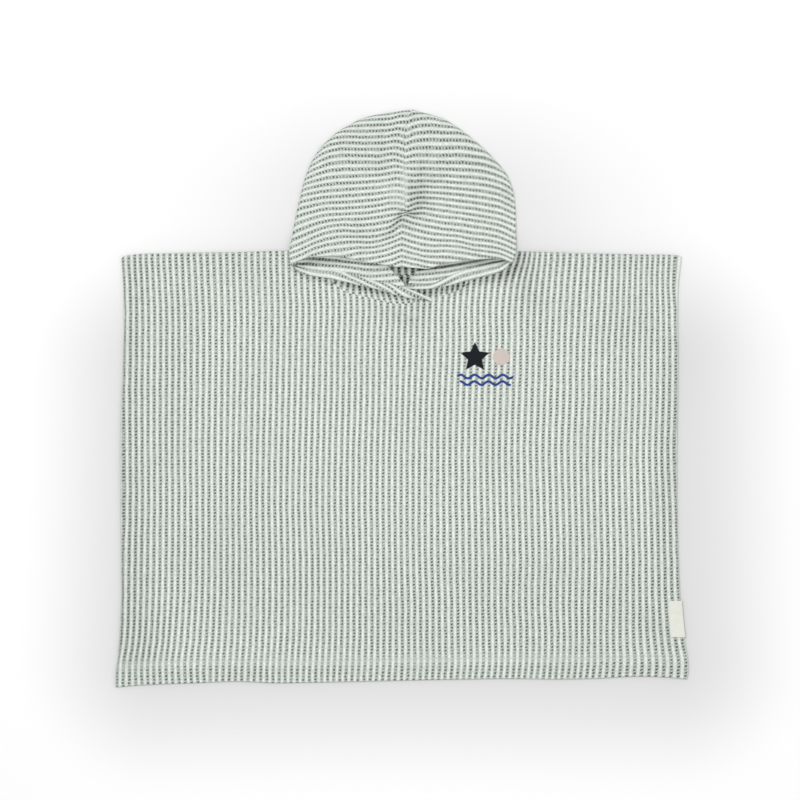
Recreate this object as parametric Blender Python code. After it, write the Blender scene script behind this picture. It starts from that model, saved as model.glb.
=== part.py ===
"""Hooded bath poncho for a small child, laid out flat on its back.

The garment lies in the XY plane with +Z up: the hem is towards -Y, the hood towards +Y, and the
wearer's left side is at +X.  The origin is on the ground under the middle of the garment.  Five
pieces make it: front, back, two hood halves that meet in a centre seam and cross at the neck, and
a side label.  Cloth is a wall of ribbed cotton, plain on one side and ribbed on the other.
"""
import bpy
import numpy as np

MM = 0.001                 # every size below is in millimetres

# ---------------------------------------------------------------- cloth
SEAM_GAP = 0.3             # daylight between two pieces that are sewn together
WALL = 1.6                 # cloth thickness in the valley between two ribs
RIB_HEIGHT = 0.8           # how far a rib stands above the valley
FULL_WALL = WALL + RIB_HEIGHT
FOLD_WALL = 2.0            # cloth thickness where it is folded round an edge
RIM_INSET = 2.5            # width over which a raw edge is rounded off
RIM_SHARE = 0.5            # share of the wall that is left at the edge itself

# ---------------------------------------------------------------- levels above the ground
BACK_WALL = 2.0
BACK_EDGE_INSET = 0.8      # the back panel is hidden by this much under the front
FRONT_LEVEL = BACK_WALL + SEAM_GAP
BAND_LEVEL = FRONT_LEVEL + FULL_WALL + SEAM_GAP
BAND_LIFT = BAND_LEVEL - FRONT_LEVEL
CROSS_LIFT = FULL_WALL + SEAM_GAP

# ---------------------------------------------------------------- body panels
RIB_COUNT = 92             # ribs across the front
ROUND_EDGE_RELIEF = 18.0   # the relief of the front fades out over this width at its edges
HEM_DEPTH = 25.0
HEM_RELIEF = 0.5           # the turned hem is double cloth
NECK_RIDGE = dict(offset=11.0, width=4.5, height=0.9)   # seam allowance turned down under the front
FRONT_ROWS = (0.0, 0.014, 0.03, 0.06, 0.14, 0.28, 0.45, 0.62, 0.78, 0.87, 0.93, 0.955, 1.0)
BACK_COLUMNS = 24
BACK_ROWS = (0.0, 0.03, 0.1, 0.3, 0.55, 0.78, 0.87, 0.94, 1.0)

# y, x of the left edge, x of the right edge
SIDE_EDGES = (
    (-310.0, -306.4, 303.0),
    (-290.0, -305.8, 306.2),
    (-277.0, -303.3, 305.6),
    (-256.0, -302.1, 301.7),
    (-216.0, -299.9, 297.9),
    (-173.0, -300.2, 295.7),
    (-2.0, -300.1, 294.9),
    (16.0, -299.1, 295.2),
    (60.0, -297.5, 295.3),
    (90.0, -296.4, 294.8),
    (120.0, -298.0, 295.5),
    (147.0, -300.1, 298.6),
    (158.0, -301.2, 299.6),
)
# x, y of the bottom edge
HEM_EDGE = (
    (-307.0, -308.9), (-293.0, -307.6), (-262.0, -305.7), (-221.0, -304.2), (-178.0, -302.6),
    (-135.0, -304.2), (-93.0, -303.6), (-28.0, -302.2), (14.0, -301.2), (57.0, -300.4),
    (121.0, -299.6), (164.0, -300.2), (207.0, -299.4), (250.0, -297.2), (277.0, -297.8),
    (307.0, -300.4),
)
# x, y of the shoulder line, across the neck as well
SHOULDER_EDGE = (
    (-302.0, 147.6), (-298.0, 151.4), (-290.0, 153.2), (-248.0, 155.4), (-172.0, 156.6),
    (-119.2, 158.3), (120.3, 157.4), (212.0, 154.9), (262.0, 153.8), (290.0, 153.2),
    (297.0, 152.2), (301.0, 149.6),
)
# x, y of the front neckline, which lies under the bands of the hood
FRONT_NECKLINE = (
    (-119.2, 158.3), (-115.8, 147.2), (-109.0, 138.6), (-100.0, 134.9), (-85.0, 132.6),
    (-65.0, 128.7), (-44.0, 123.5), (-27.0, 119.5), (-12.0, 115.6), (-3.0, 113.6), (4.0, 115.2),
    (10.0, 119.0), (17.0, 120.8), (27.0, 120.6), (34.0, 121.6), (46.0, 126.4), (62.0, 128.8),
    (72.0, 131.6), (89.0, 135.4), (99.0, 137.9), (108.0, 141.8), (115.5, 149.0), (120.3, 157.4),
)
BACK_NECK_RISE = 2.2       # how far the back neckline rises above the shoulder line

# ---------------------------------------------------------------- hood
HOOD_RIBS = 26             # ribs between the face edge and the tip of the hood
BANDED_ROWS = 16           # rows near the face edge whose ribs show on the inside as well
LIP_SEAM_Y = 140.2
TIP_SEAM_Y = 306.2
FOLD_HEIGHT = 5.4          # height of the rounded fold along the silhouette
CROWN_DROOP = 2.4          # how late a row bends down towards the silhouette
CROWN_STOPS = (0.0, 0.035, 0.09, 0.24, 0.42, 0.6, 0.78, 0.92, 1.0)
FOLD_TURNS = (0.25, 0.5, 0.75)
LOWER_STOPS = (0.0, 0.09, 0.2, 0.38, 0.58, 0.74, 0.86, 0.94, 1.0)
SEAM_GROOVE = dict(width=3.2, depth=0.9)
PINCH = dict(x=2.7, y=198.0, radius=11.0, depth=1.1)    # where the centre seam is puckered

# one row for each section of a half hood, all at the same distance from the face edge:
# seam x and y, then x and y of the silhouette, then x and y where the lower layer ends
LEFT_SECTIONS = (
    (-0.5, 140.2, -118.8, 142.2, 31.6, 103.0),
    (-0.5, 142.5, -119.4, 144.6, 32.0, 105.4),
    (-0.5, 146.0, -120.0, 147.3, 18.5, 111.9),
    (-0.5, 151.0, -120.5, 150.2, 3.6, 122.6),
    (-0.5, 157.0, -120.7, 154.0, -7.0, 131.0),
    (-0.5, 164.0, -120.3, 159.5, -15.0, 140.5),
    (-0.3, 173.0, -119.0, 167.0, -11.0, 151.0),
    (0.9, 186.0, -116.9, 178.0, -4.0, 163.0),
    (2.5, 198.0, -114.7, 189.5, 0.0, 177.0),
    (3.0, 215.0, -111.5, 205.0, 1.5, 200.0),
    (3.2, 232.0, -108.0, 220.0, 2.5, 222.0),
    (2.5, 249.0, -103.0, 238.0, 2.5, 243.0),
    (2.2, 266.0, -94.5, 257.0, 2.4, 262.0),
    (2.8, 281.0, -81.0, 274.5, 2.8, 279.0),
    (4.6, 293.5, -58.0, 291.5, 4.4, 292.5),
    (7.2, 301.8, -29.0, 303.0, 7.0, 301.5),
    (9.4, 306.2, 8.4, 309.1, 9.4, 306.1),
)
RIGHT_SECTIONS = (
    (-0.5, 140.2, 116.6, 144.2, -19.0, 117.0),
    (-0.5, 142.5, 118.6, 146.4, -12.0, 119.0),
    (-0.5, 146.0, 120.3, 149.0, -4.0, 121.4),
    (-0.5, 151.0, 121.3, 152.0, 4.6, 124.0),
    (-0.5, 157.0, 121.9, 156.0, 9.0, 130.0),
    (-0.5, 164.0, 122.2, 161.5, 14.0, 140.5),
    (-0.3, 173.0, 122.3, 169.0, 11.0, 151.0),
    (0.9, 186.0, 122.2, 180.0, 5.0, 163.0),
    (2.5, 198.0, 122.0, 191.5, 1.5, 177.0),
    (3.0, 215.0, 121.2, 206.0, 2.0, 200.0),
    (3.2, 232.0, 118.6, 223.0, 2.6, 222.0),
    (2.5, 249.0, 111.9, 239.5, 2.5, 243.0),
    (2.2, 266.0, 99.0, 255.5, 2.4, 262.0),
    (2.8, 281.0, 81.0, 273.0, 2.8, 279.0),
    (4.6, 293.5, 57.0, 291.5, 4.4, 292.5),
    (7.2, 301.8, 37.0, 301.7, 7.0, 301.5),
    (9.4, 306.2, 10.8, 308.9, 9.4, 306.1),
)
# share of the way from seam to silhouette, rise of the lip on the left half and on the right half
LIP_RISE = (
    (0.0, 0.0, 0.0), (0.13, 1.0, -1.2), (0.28, 4.2, -3.4), (0.43, 8.2, 1.2), (0.56, 10.4, 5.2),
    (0.7, 10.8, 6.6), (0.83, 9.0, 6.4), (0.93, 5.4, 4.6), (1.0, 0.0, 0.0),
)
LIP_FADE = (147.0, 205.0)  # seam y over which the rows lose the shape of the lip
# share of the way from silhouette to the end of the band, sag of its lower edge, left and right
BAND_SAG = (
    (0.0, 0.0, 0.0), (0.05, -4.2, -4.6), (0.11, -6.0, -6.2), (0.2, -5.0, -6.5), (0.33, -3.4, -6.6),
    (0.5, -3.3, -7.0), (0.63, -3.4, -9.0), (0.76, -4.6, -6.0), (0.86, -3.6, -1.2), (1.0, 0.0, 0.0),
)
SAG_FADE = (146.0, 182.0)
BAND_FADE = (151.0, 161.0)           # seam y over which the band comes down behind the neckline
SIDE_FADE = (159.0, 178.0)           # y over which the silhouette comes down behind the shoulder
SIDE_STRIP = (0.1, 0.22)             # share of the lower layer that the shoulder lifts
FLOOR_RAMP = (161.5, 186.0)          # y over which the lower layer comes down to the ground
CROSS_RAMP = (-37.0, -27.0)          # x over which the left band climbs onto the right one
CROSS_FADE = (155.0, 165.0)
CROSS_TIP = (15.0, 27.0, 0.8)        # x over which its tip droops again, and by which share
# soft folds of the crown: x and y of one end, x and y of the other, half width, height
CROWN_FOLDS = (
    (2.0, 214.0, 8.0, 296.0, 8.5, 1.3),
    (17.0, 204.0, 22.0, 238.0, 7.0, -1.2),
    (-22.0, 236.0, -17.0, 288.0, 8.0, -0.9),
    (-8.0, 196.0, -24.0, 176.0, 7.0, -1.0),
    (-46.0, 168.0, -53.0, 190.0, 6.0, -0.6),
    (12.0, 190.0, 46.0, 176.0, 8.0, 0.7),
    (72.0, 196.0, 88.0, 236.0, 11.0, 0.6),
    (-84.0, 190.0, -66.0, 240.0, 12.0, 0.5),
)
# seam y, level of the crown's plain side along the middle of a half
CROWN_LEVELS = ((140.2, 8.0), (160.0, 7.6), (175.0, 6.0), (190.0, 5.5), (270.0, 5.3), (306.2, 3.6))

# ---------------------------------------------------------------- label
LABEL = dict(top=-217.5, bottom=-256.5, width=12.6, thickness=1.0, clear=0.7, drop_to=2.6)
LABEL_STEPS = 6

COTTON = dict(colour=(0.66, 0.72, 0.68), roughness=0.9)
LABEL_TAPE = dict(colour=(0.83, 0.83, 0.75), roughness=0.8)


# ================================================================ helpers
def smooth_step(start, end, value):
    """0 before start, 1 after end, and a soft S between them."""
    share = np.clip((np.asarray(value, float) - start) / (end - start), 0.0, 1.0)
    return share * share * (3.0 - 2.0 * share)


def smooth_curve(knots, values, at):
    """Cubic curve through the knots, with slopes taken from their neighbours."""
    knots = np.asarray(knots, float)
    values = np.asarray(values, float)
    steps = np.diff(knots)
    secants = np.diff(values) / steps
    slopes = np.empty(len(knots))
    slopes[1:-1] = (secants[:-1] * steps[1:] + secants[1:] * steps[:-1]) / (steps[:-1] + steps[1:])
    slopes[0] = secants[0]
    slopes[-1] = secants[-1]
    at = np.clip(np.asarray(at, float), knots[0], knots[-1])
    index = np.clip(np.searchsorted(knots, at, side="right") - 1, 0, len(steps) - 1)
    step = steps[index]
    share = (at - knots[index]) / step
    rest = 1.0 - share
    return ((1.0 + 2.0 * share) * rest ** 2 * values[index]
            + share * rest ** 2 * step * slopes[index]
            + share ** 2 * (3.0 - 2.0 * share) * values[index + 1]
            - share ** 2 * rest * step * slopes[index + 1])


def column(table, index):
    return [row[index] for row in table]


def chain_shares(points):
    """Position of each point along its chain, from 0 to 1."""
    lengths = np.linalg.norm(np.diff(points, axis=0), axis=1)
    run = np.concatenate(([0.0], np.cumsum(lengths)))
    return run / run[-1]


def zip_chains(points, first, second):
    """Triangles that join two chains of vertex numbers, which may differ in their count."""
    first_shares = chain_shares(points[first])
    second_shares = chain_shares(points[second])
    faces = []
    i = 0
    j = 0
    while i < len(first) - 1 or j < len(second) - 1:
        take_first = j == len(second) - 1 or (
            i < len(first) - 1 and first_shares[i + 1] <= second_shares[j + 1])
        if take_first:
            faces.append((first[i], first[i + 1], second[j]))
            i += 1
        else:
            faces.append((first[i], second[j + 1], second[j]))
            j += 1
    return faces


def grid_faces(numbers):
    """Quads of a grid of vertex numbers."""
    faces = []
    for row in range(numbers.shape[0] - 1):
        for col in range(numbers.shape[1] - 1):
            faces.append((numbers[row, col], numbers[row, col + 1],
                          numbers[row + 1, col + 1], numbers[row + 1, col]))
    return faces


def make_material(name, colour, roughness):
    material = bpy.data.materials.new(name)
    material.use_nodes = True
    shader = material.node_tree.nodes["Principled BSDF"]
    shader.inputs["Base Color"].default_value = (*colour, 1.0)
    shader.inputs["Roughness"].default_value = roughness
    shader.inputs["Metallic"].default_value = 0.0
    material.diffuse_color = (*colour, 1.0)
    return material


def add_cloth(name, upper, under, material):
    """One closed wall between two grids of points whose four borders run side by side."""
    points = np.concatenate((upper.reshape(-1, 3), under.reshape(-1, 3)))
    upper_numbers = np.arange(upper.shape[0] * upper.shape[1]).reshape(upper.shape[:2])
    under_numbers = np.arange(under.shape[0] * under.shape[1]).reshape(under.shape[:2])
    under_numbers = under_numbers + upper_numbers.size
    faces = grid_faces(upper_numbers)
    faces += [tuple(reversed(face)) for face in grid_faces(under_numbers)]
    borders = (
        (upper_numbers[0, ::-1], under_numbers[0, ::-1]),
        (upper_numbers[-1, :], under_numbers[-1, :]),
        (upper_numbers[:, 0], under_numbers[:, 0]),
        (upper_numbers[::-1, -1], under_numbers[::-1, -1]),
    )
    for upper_border, under_border in borders:
        faces += zip_chains(points, upper_border, under_border)
    mesh = bpy.data.meshes.new(name)
    mesh.from_pydata((points * MM).tolist(), [], [tuple(int(n) for n in face) for face in faces])
    mesh.validate()
    face_outward(mesh)
    mesh.shade_smooth()
    mesh.set_sharp_from_angle(angle=np.radians(50.0))
    mesh.materials.append(material)
    cloth = bpy.data.objects.new(name, mesh)
    bpy.context.scene.collection.objects.link(cloth)
    return cloth


def face_outward(mesh):
    """Turn the whole closed wall outward when its volume comes out negative."""
    points = np.array([vertex.co for vertex in mesh.vertices])
    volume = 0.0
    for polygon in mesh.polygons:
        corners = points[list(polygon.vertices)]
        for k in range(1, len(corners) - 1):
            volume += np.dot(corners[0], np.cross(corners[k], corners[k + 1])) / 6.0
    if volume < 0.0:
        mesh.flip_normals()


# ================================================================ body panels
def body_x(share, y):
    """x at a share of the body's width, 0 at the left edge and 1 at the right one."""
    left = smooth_curve(column(SIDE_EDGES, 0), column(SIDE_EDGES, 1), y)
    right = smooth_curve(column(SIDE_EDGES, 0), column(SIDE_EDGES, 2), y)
    return left + share * (right - left)


def shoulder_y(x):
    return smooth_curve(column(SHOULDER_EDGE, 0), column(SHOULDER_EDGE, 1), x)


def front_top_y(x):
    """Upper edge of the front: shoulders, and the neckline between them."""
    neck = smooth_curve(column(FRONT_NECKLINE, 0), column(FRONT_NECKLINE, 1), x)
    inside = (x > FRONT_NECKLINE[0][0]) & (x < FRONT_NECKLINE[-1][0])
    return np.where(inside, neck, shoulder_y(x))


def back_top_y(x):
    """Upper edge of the back: shoulders, and a neckline that rises gently between them."""
    neck_start = FRONT_NECKLINE[0][0]
    neck_end = FRONT_NECKLINE[-1][0]
    across = np.clip((x - neck_start) / (neck_end - neck_start), 0.0, 1.0)
    return shoulder_y(x) + BACK_NECK_RISE * np.sin(np.pi * across) ** 2 - BACK_EDGE_INSET


def hem_y(x):
    return smooth_curve(column(HEM_EDGE, 0), column(HEM_EDGE, 1), x)


def body_plan(shares, rows, top_edge, side_inset, hem_inset):
    """x and y of a body panel's grid; columns follow the ribs, rows run from top to hem."""
    top_y = np.full(len(shares), SHOULDER_EDGE[0][1])
    bottom_y = np.full(len(shares), HEM_EDGE[0][1])
    for _ in range(4):
        top_y = top_edge(body_x(shares, top_y))
        bottom_y = hem_y(body_x(shares, bottom_y)) + hem_inset
    depth = np.asarray(rows)[:, None]
    y = top_y[None, :] * (1.0 - depth) + bottom_y[None, :] * depth
    x = body_x(shares[None, :], y)
    x = x + side_inset * (1.0 - 2.0 * shares[None, :])
    return x, y, top_y, bottom_y


def edge_distance(x, y, top_y, bottom_y):
    """Rough distance of each point to the nearest edge of its panel."""
    sides = np.minimum(x - body_x(0.0, y), body_x(1.0, y) - x)
    ends = np.minimum(top_y[None, :] - y, y - bottom_y[None, :])
    return np.clip(np.minimum(sides, ends), 0.0, None)


def front_relief(x, y, top_y, bottom_y):
    """Height of the front's ribbed side above its plain level, ribs not included."""
    neck_start = FRONT_NECKLINE[0][0] + 12.0
    neck_end = FRONT_NECKLINE[-1][0] - 12.0
    under_neck = smooth_step(neck_start, neck_start + 20.0, x) * smooth_step(
        -neck_end, -neck_end + 20.0, -x)
    drop = (top_y[None, :] - y - NECK_RIDGE["offset"]) / NECK_RIDGE["width"]
    ridge = NECK_RIDGE["height"] * np.exp(-drop ** 2) * under_neck
    hem = HEM_RELIEF * (1.0 - smooth_step(HEM_DEPTH - 3.0, HEM_DEPTH, y - bottom_y[None, :]))
    sides = np.minimum(x - body_x(0.0, y), body_x(1.0, y) - x)
    return ridge + hem * smooth_step(0.0, ROUND_EDGE_RELIEF, sides)


def build_front(material):
    shares = np.linspace(0.0, 1.0, 2 * RIB_COUNT + 1)
    x, y, top_y, bottom_y = body_plan(shares, FRONT_ROWS, front_top_y, 0.0, 0.0)
    ribs = RIB_HEIGHT * (np.arange(len(shares)) % 2)[None, :]
    distance = edge_distance(x, y, top_y, bottom_y)
    rim = RIM_SHARE + (1.0 - RIM_SHARE) * np.clip(distance / RIM_INSET, 0.0, 1.0)
    relief = front_relief(x, y, top_y, bottom_y) * smooth_step(0.0, 4.0, distance)
    upper = np.dstack((x, y, FRONT_LEVEL + (WALL + ribs) * rim + relief))
    plain_columns = plain_front_columns(shares, x[0])
    under = np.dstack((x[:, plain_columns], y[:, plain_columns],
                       np.full((len(FRONT_ROWS), len(plain_columns)), FRONT_LEVEL)))
    return add_cloth("front", upper, under, material)


def plain_front_columns(shares, top_x):
    """Columns kept on the front's plain side: few, and closer together along the neckline."""
    kept = []
    for number in range(len(shares)):
        in_neck = FRONT_NECKLINE[0][0] - 4.0 < top_x[number] < FRONT_NECKLINE[-1][0] + 4.0
        spacing = 3 if in_neck else 12
        near_corner = min(abs(top_x[number] - FRONT_NECKLINE[0][0]),
                          abs(top_x[number] - FRONT_NECKLINE[-1][0])) < 9.0
        last = number in (0, 1, len(shares) - 2, len(shares) - 1)
        if last or near_corner or number % spacing == 0:
            kept.append(number)
    return kept


def build_back(material):
    shares = np.linspace(0.0, 1.0, BACK_COLUMNS + 1)
    x, y, _, _ = body_plan(shares, BACK_ROWS, back_top_y, BACK_EDGE_INSET, BACK_EDGE_INSET)
    upper = np.dstack((x, y, np.full(x.shape, BACK_WALL)))
    under = np.dstack((x, y, np.zeros(x.shape)))
    return add_cloth("back", upper, under, material)


# ================================================================ hood
def hood_sections(table, seam_y):
    """Seam, silhouette and lower end of the rows whose seam points are at seam_y."""
    keys = column(table, 1)
    seam = np.stack((smooth_curve(keys, column(table, 0), seam_y), seam_y), axis=1)
    side = np.stack([smooth_curve(keys, column(table, k), seam_y) for k in (2, 3)], axis=1)
    lower = np.stack([smooth_curve(keys, column(table, k), seam_y) for k in (4, 5)], axis=1)
    return seam, side, lower


def outward_normals(side, hand):
    """Unit normals of the silhouette in the ground plane, pointing away from the hood."""
    tangent = np.gradient(side, axis=0)
    tangent = tangent / np.linalg.norm(tangent, axis=1)[:, None]
    return np.stack((hand * tangent[:, 1], -hand * tangent[:, 0]), axis=1)


def lower_level(share, seam_y, x, y, hand):
    """Underside of the hood's lower layer: band over neckline, then back panel, then ground."""
    level = FRONT_LEVEL * (1.0 - smooth_step(*FLOOR_RAMP, y))
    band = 1.0 - smooth_step(*BAND_FADE, seam_y)
    shoulder = (1.0 - smooth_step(*SIDE_STRIP, share)) * (1.0 - smooth_step(*SIDE_FADE, y))
    level = level + BAND_LIFT * np.maximum(band, shoulder)
    if hand < 0:
        tip_start, tip_end, tip_share = CROSS_TIP
        climb = smooth_step(*CROSS_RAMP, x) * (1.0 - tip_share * smooth_step(tip_start, tip_end, x))
        level = level + CROSS_LIFT * climb * (1.0 - smooth_step(*CROSS_FADE, seam_y))
    return level


def fold_height(folds, x, y):
    """Sum of soft ridges and troughs, each a rounded bump along a short line."""
    total = np.zeros(np.broadcast(x, y).shape)
    for start_x, start_y, end_x, end_y, half_width, height in folds:
        along = np.array((end_x - start_x, end_y - start_y))
        share = ((x - start_x) * along[0] + (y - start_y) * along[1]) / along.dot(along)
        share = np.clip(share, 0.0, 1.0)
        away = np.hypot(x - start_x - share * along[0], y - start_y - share * along[1])
        total = total + height * np.exp(-(away / half_width) ** 2)
    return total


def crown_level(share, seam_y, side_level, x, y, seam_x):
    """Plain side of the crown: a low dome with a groove along the seam and a pinch in it."""
    middle = smooth_curve(column(CROWN_LEVELS, 0), column(CROWN_LEVELS, 1), seam_y)
    level = middle + (side_level - middle) * smooth_step(0.62, 1.0, share)
    groove = SEAM_GROOVE["depth"] * np.exp(-((x - seam_x) / SEAM_GROOVE["width"]) ** 2)
    away = np.hypot(x - PINCH["x"], y - PINCH["y"]) / PINCH["radius"]
    groove = groove * smooth_step(0.0, 8.0, TIP_SEAM_Y - seam_y)
    folds = fold_height(CROWN_FOLDS, x, y) * (1.0 - smooth_step(0.8, 1.0, share))
    return level + folds - groove - PINCH["depth"] * np.exp(-away ** 2)


def build_hood_half(name, table, hand, material):
    """hand is -1 for the half at -X and +1 for the half at +X."""
    row_count = 2 * HOOD_RIBS + 1
    rib_pitch = (TIP_SEAM_Y - LIP_SEAM_Y) / HOOD_RIBS
    seam_y = np.linspace(LIP_SEAM_Y, TIP_SEAM_Y, row_count)
    seam_y[-2] += 0.2 * rib_pitch
    rib = (np.arange(row_count) % 2)[:, None]
    seam, side, lower_end = hood_sections(table, seam_y)
    seam[:, 0] += hand * SEAM_GAP / 2
    closed = smooth_step(196.0, 199.0, seam_y)
    lower_end[:, 0] += closed * hand * SEAM_GAP / 2
    normal = outward_normals(side, hand)
    radius = FOLD_HEIGHT / 2
    fold_centre = side - normal * radius
    curve_column = 1 if hand < 0 else 2

    share = np.asarray(CROWN_STOPS)[None, :]
    rise = smooth_curve(column(LIP_RISE, 0), column(LIP_RISE, curve_column), share)
    rise = rise * (1.0 - smooth_step(*LIP_FADE, seam_y)[:, None])
    crown_x = seam[:, :1] + (fold_centre[:, :1] - seam[:, :1]) * share
    droop = share ** CROWN_DROOP
    crown_y = seam[:, 1:] + (fold_centre[:, 1:] - seam[:, 1:]) * droop + rise

    share_low = np.asarray(LOWER_STOPS)[None, :]
    sag = smooth_curve(column(BAND_SAG, 0), column(BAND_SAG, curve_column), share_low)
    sag = sag * (1.0 - smooth_step(*SAG_FADE, seam_y)[:, None])
    lower_x = fold_centre[:, :1] + (lower_end[:, :1] - fold_centre[:, :1]) * share_low
    lower_y = fold_centre[:, 1:] + (lower_end[:, 1:] - fold_centre[:, 1:]) * share_low + sag

    lower_z = lower_level(share_low, seam_y[:, None], lower_x, lower_y, hand)
    fold_foot = lower_z[:, :1]
    crown_side = fold_foot + FOLD_HEIGHT - FOLD_WALL
    crown_z = crown_level(share, seam_y[:, None], crown_side, crown_x, crown_y, seam[:, :1])

    side_share = smooth_step(0.78, 1.0, share)
    crown_wall = (WALL + RIB_HEIGHT * rib) * (1.0 - side_share) + FOLD_WALL * side_share
    crown_wall[0] = FOLD_WALL * 0.8
    inner_ribs = rib * (np.arange(row_count) < BANDED_ROWS)[:, None]
    fold_share = 1.0 - smooth_step(0.0, 0.12, share_low)
    lower_wall = (FOLD_WALL - 0.4 + RIB_HEIGHT * inner_ribs) * (1.0 - fold_share)
    lower_wall = lower_wall + FOLD_WALL * fold_share
    lower_wall[0] = FOLD_WALL * 0.8

    outer = [np.dstack((crown_x, crown_y, crown_z + crown_wall))]
    inner = [np.dstack((crown_x, crown_y, crown_z))]
    middle_z = fold_foot[:, 0] + radius
    for turn in FOLD_TURNS:
        angle = np.pi * turn
        for layers, reach in ((outer, radius), (inner, radius - FOLD_WALL)):
            spot = fold_centre + normal * reach * np.sin(angle)
            height = middle_z + reach * np.cos(angle)
            layers.append(np.dstack((spot[:, :1], spot[:, 1:], height[:, None])))
    outer.append(np.dstack((lower_x, lower_y, lower_z)))
    inner.append(np.dstack((lower_x, lower_y, lower_z + lower_wall)))
    outer = np.concatenate(outer, axis=1)
    inner = np.concatenate(inner, axis=1)
    plain_rows = [row for row in range(row_count) if row <= BANDED_ROWS or row % 2 == 0]
    return add_cloth(name, outer, inner[plain_rows], material)


# ================================================================ label
def build_label(material):
    """A folded tape on the right side seam, flat on the front and turned down over the edge."""
    y = np.linspace(LABEL["top"], LABEL["bottom"], LABEL_STEPS + 1)
    edge = body_x(1.0, y)
    top_level = FRONT_LEVEL + FULL_WALL + SEAM_GAP
    thick = LABEL["thickness"]
    turn = LABEL["clear"]
    # distance from the garment's edge and height, from the inner end round to the lower end
    plain_profile = ((-LABEL["width"], top_level), (-LABEL["width"] / 2, top_level),
                     (0.0, top_level), (turn, top_level - turn), (turn, LABEL["drop_to"]))
    outer_profile = ((-LABEL["width"], top_level + thick), (-LABEL["width"] / 2, top_level + thick),
                     (0.3, top_level + thick), (turn + thick, top_level - turn + 0.4),
                     (turn + thick, LABEL["drop_to"]))
    grids = []
    for profile in (outer_profile, plain_profile):
        x = edge[:, None] + np.array(column(profile, 0))[None, :]
        z = np.tile(np.array(column(profile, 1)), (len(y), 1))
        grids.append(np.dstack((x, np.tile(y[:, None], (1, x.shape[1])), z)))
    return add_cloth("label", grids[0], grids[1], material)


# ================================================================ garment
def clear_scene():
    for item in list(bpy.data.objects):
        bpy.data.objects.remove(item, do_unlink=True)


def main():
    clear_scene()
    cotton = make_material("ribbed_cotton", **COTTON)
    tape = make_material("label_tape", **LABEL_TAPE)
    build_back(cotton)
    build_front(cotton)
    build_hood_half("hood_left", LEFT_SECTIONS, -1, cotton)
    build_hood_half("hood_right", RIGHT_SECTIONS, 1, cotton)
    build_label(tape)


main()
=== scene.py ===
"""Looks of the hooded bath poncho: its cloth, sewing and setting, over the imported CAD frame.

Lengths are in millimetres unless a name says otherwise, in the frame of the CAD model: the hem is
towards -Y, the hood towards +Y, and +Z is up.  A "stripe" number counts the dark stripes of the cloth:
a whole number is the middle of a dark stripe, and a half is the top of the white rib beside it.
"""
from types import SimpleNamespace

import bpy
import numpy as np
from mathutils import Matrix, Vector

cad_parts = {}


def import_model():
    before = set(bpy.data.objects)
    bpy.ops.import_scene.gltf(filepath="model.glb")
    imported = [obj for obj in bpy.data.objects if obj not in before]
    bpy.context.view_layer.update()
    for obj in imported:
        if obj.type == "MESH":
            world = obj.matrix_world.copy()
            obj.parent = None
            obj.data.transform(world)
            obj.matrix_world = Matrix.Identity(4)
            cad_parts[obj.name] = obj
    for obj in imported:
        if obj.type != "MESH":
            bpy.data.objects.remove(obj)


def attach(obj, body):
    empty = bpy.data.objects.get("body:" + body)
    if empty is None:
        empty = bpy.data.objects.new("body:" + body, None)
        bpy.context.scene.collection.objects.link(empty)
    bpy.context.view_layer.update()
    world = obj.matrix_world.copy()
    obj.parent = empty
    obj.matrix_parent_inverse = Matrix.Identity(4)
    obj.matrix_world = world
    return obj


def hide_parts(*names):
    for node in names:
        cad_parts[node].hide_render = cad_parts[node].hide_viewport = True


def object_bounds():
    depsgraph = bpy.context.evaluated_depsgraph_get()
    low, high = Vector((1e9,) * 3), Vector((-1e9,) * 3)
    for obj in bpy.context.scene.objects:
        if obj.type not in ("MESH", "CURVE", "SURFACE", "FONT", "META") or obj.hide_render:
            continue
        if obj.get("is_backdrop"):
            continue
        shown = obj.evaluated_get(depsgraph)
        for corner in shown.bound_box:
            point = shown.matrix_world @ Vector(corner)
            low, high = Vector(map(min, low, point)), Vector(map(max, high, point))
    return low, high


MM = 0.001

# ---------------------------------------------------------------- cloth and outlines
# The walls are those of the CAD model.  The outlines and sections follow the photo, and differ
# from the CAD model's by up to 4 mm.
SEAM_GAP = 0.3             # kept free between two pieces
WALL = 1.6                 # between two ribs
RIB_HEIGHT = 0.8
FULL_WALL = WALL + RIB_HEIGHT
FOLD_WALL = 2.0            # round the silhouette of the hood
BACK_WALL = 2.0
BACK_RIB = 0.5             # ribs on the back's upper side, and on its under side
UNDER_RIB = 0.55
BACK_EDGE_INSET = 0.8      # how far the back stays inside the outline of the front
FRONT_LEVEL = BACK_WALL + SEAM_GAP
LAYER_LIFT = FULL_WALL + SEAM_GAP      # from the underside of a layer to that of the next one
HEM_RELIEF = 0.5           # how far the turned hem stands up
HEM_FLATTENS = 0.35        # share of the ribs' height that is lost on it

# y, x of the left edge, x of the right edge
SIDE_EDGES = (
    (-310.0, -306.4, 303.0),
    (-290.0, -305.8, 306.2),
    (-277.0, -303.3, 305.6),
    (-256.0, -302.1, 301.7),
    (-216.0, -299.9, 297.9),
    (-173.0, -300.2, 295.7),
    (-2.0, -300.1, 294.9),
    (16.0, -299.1, 295.2),
    (60.0, -297.5, 295.3),
    (90.0, -296.4, 294.8),
    (120.0, -298.0, 295.5),
    (147.0, -300.1, 298.6),
    (158.0, -301.2, 299.6),
)
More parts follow.
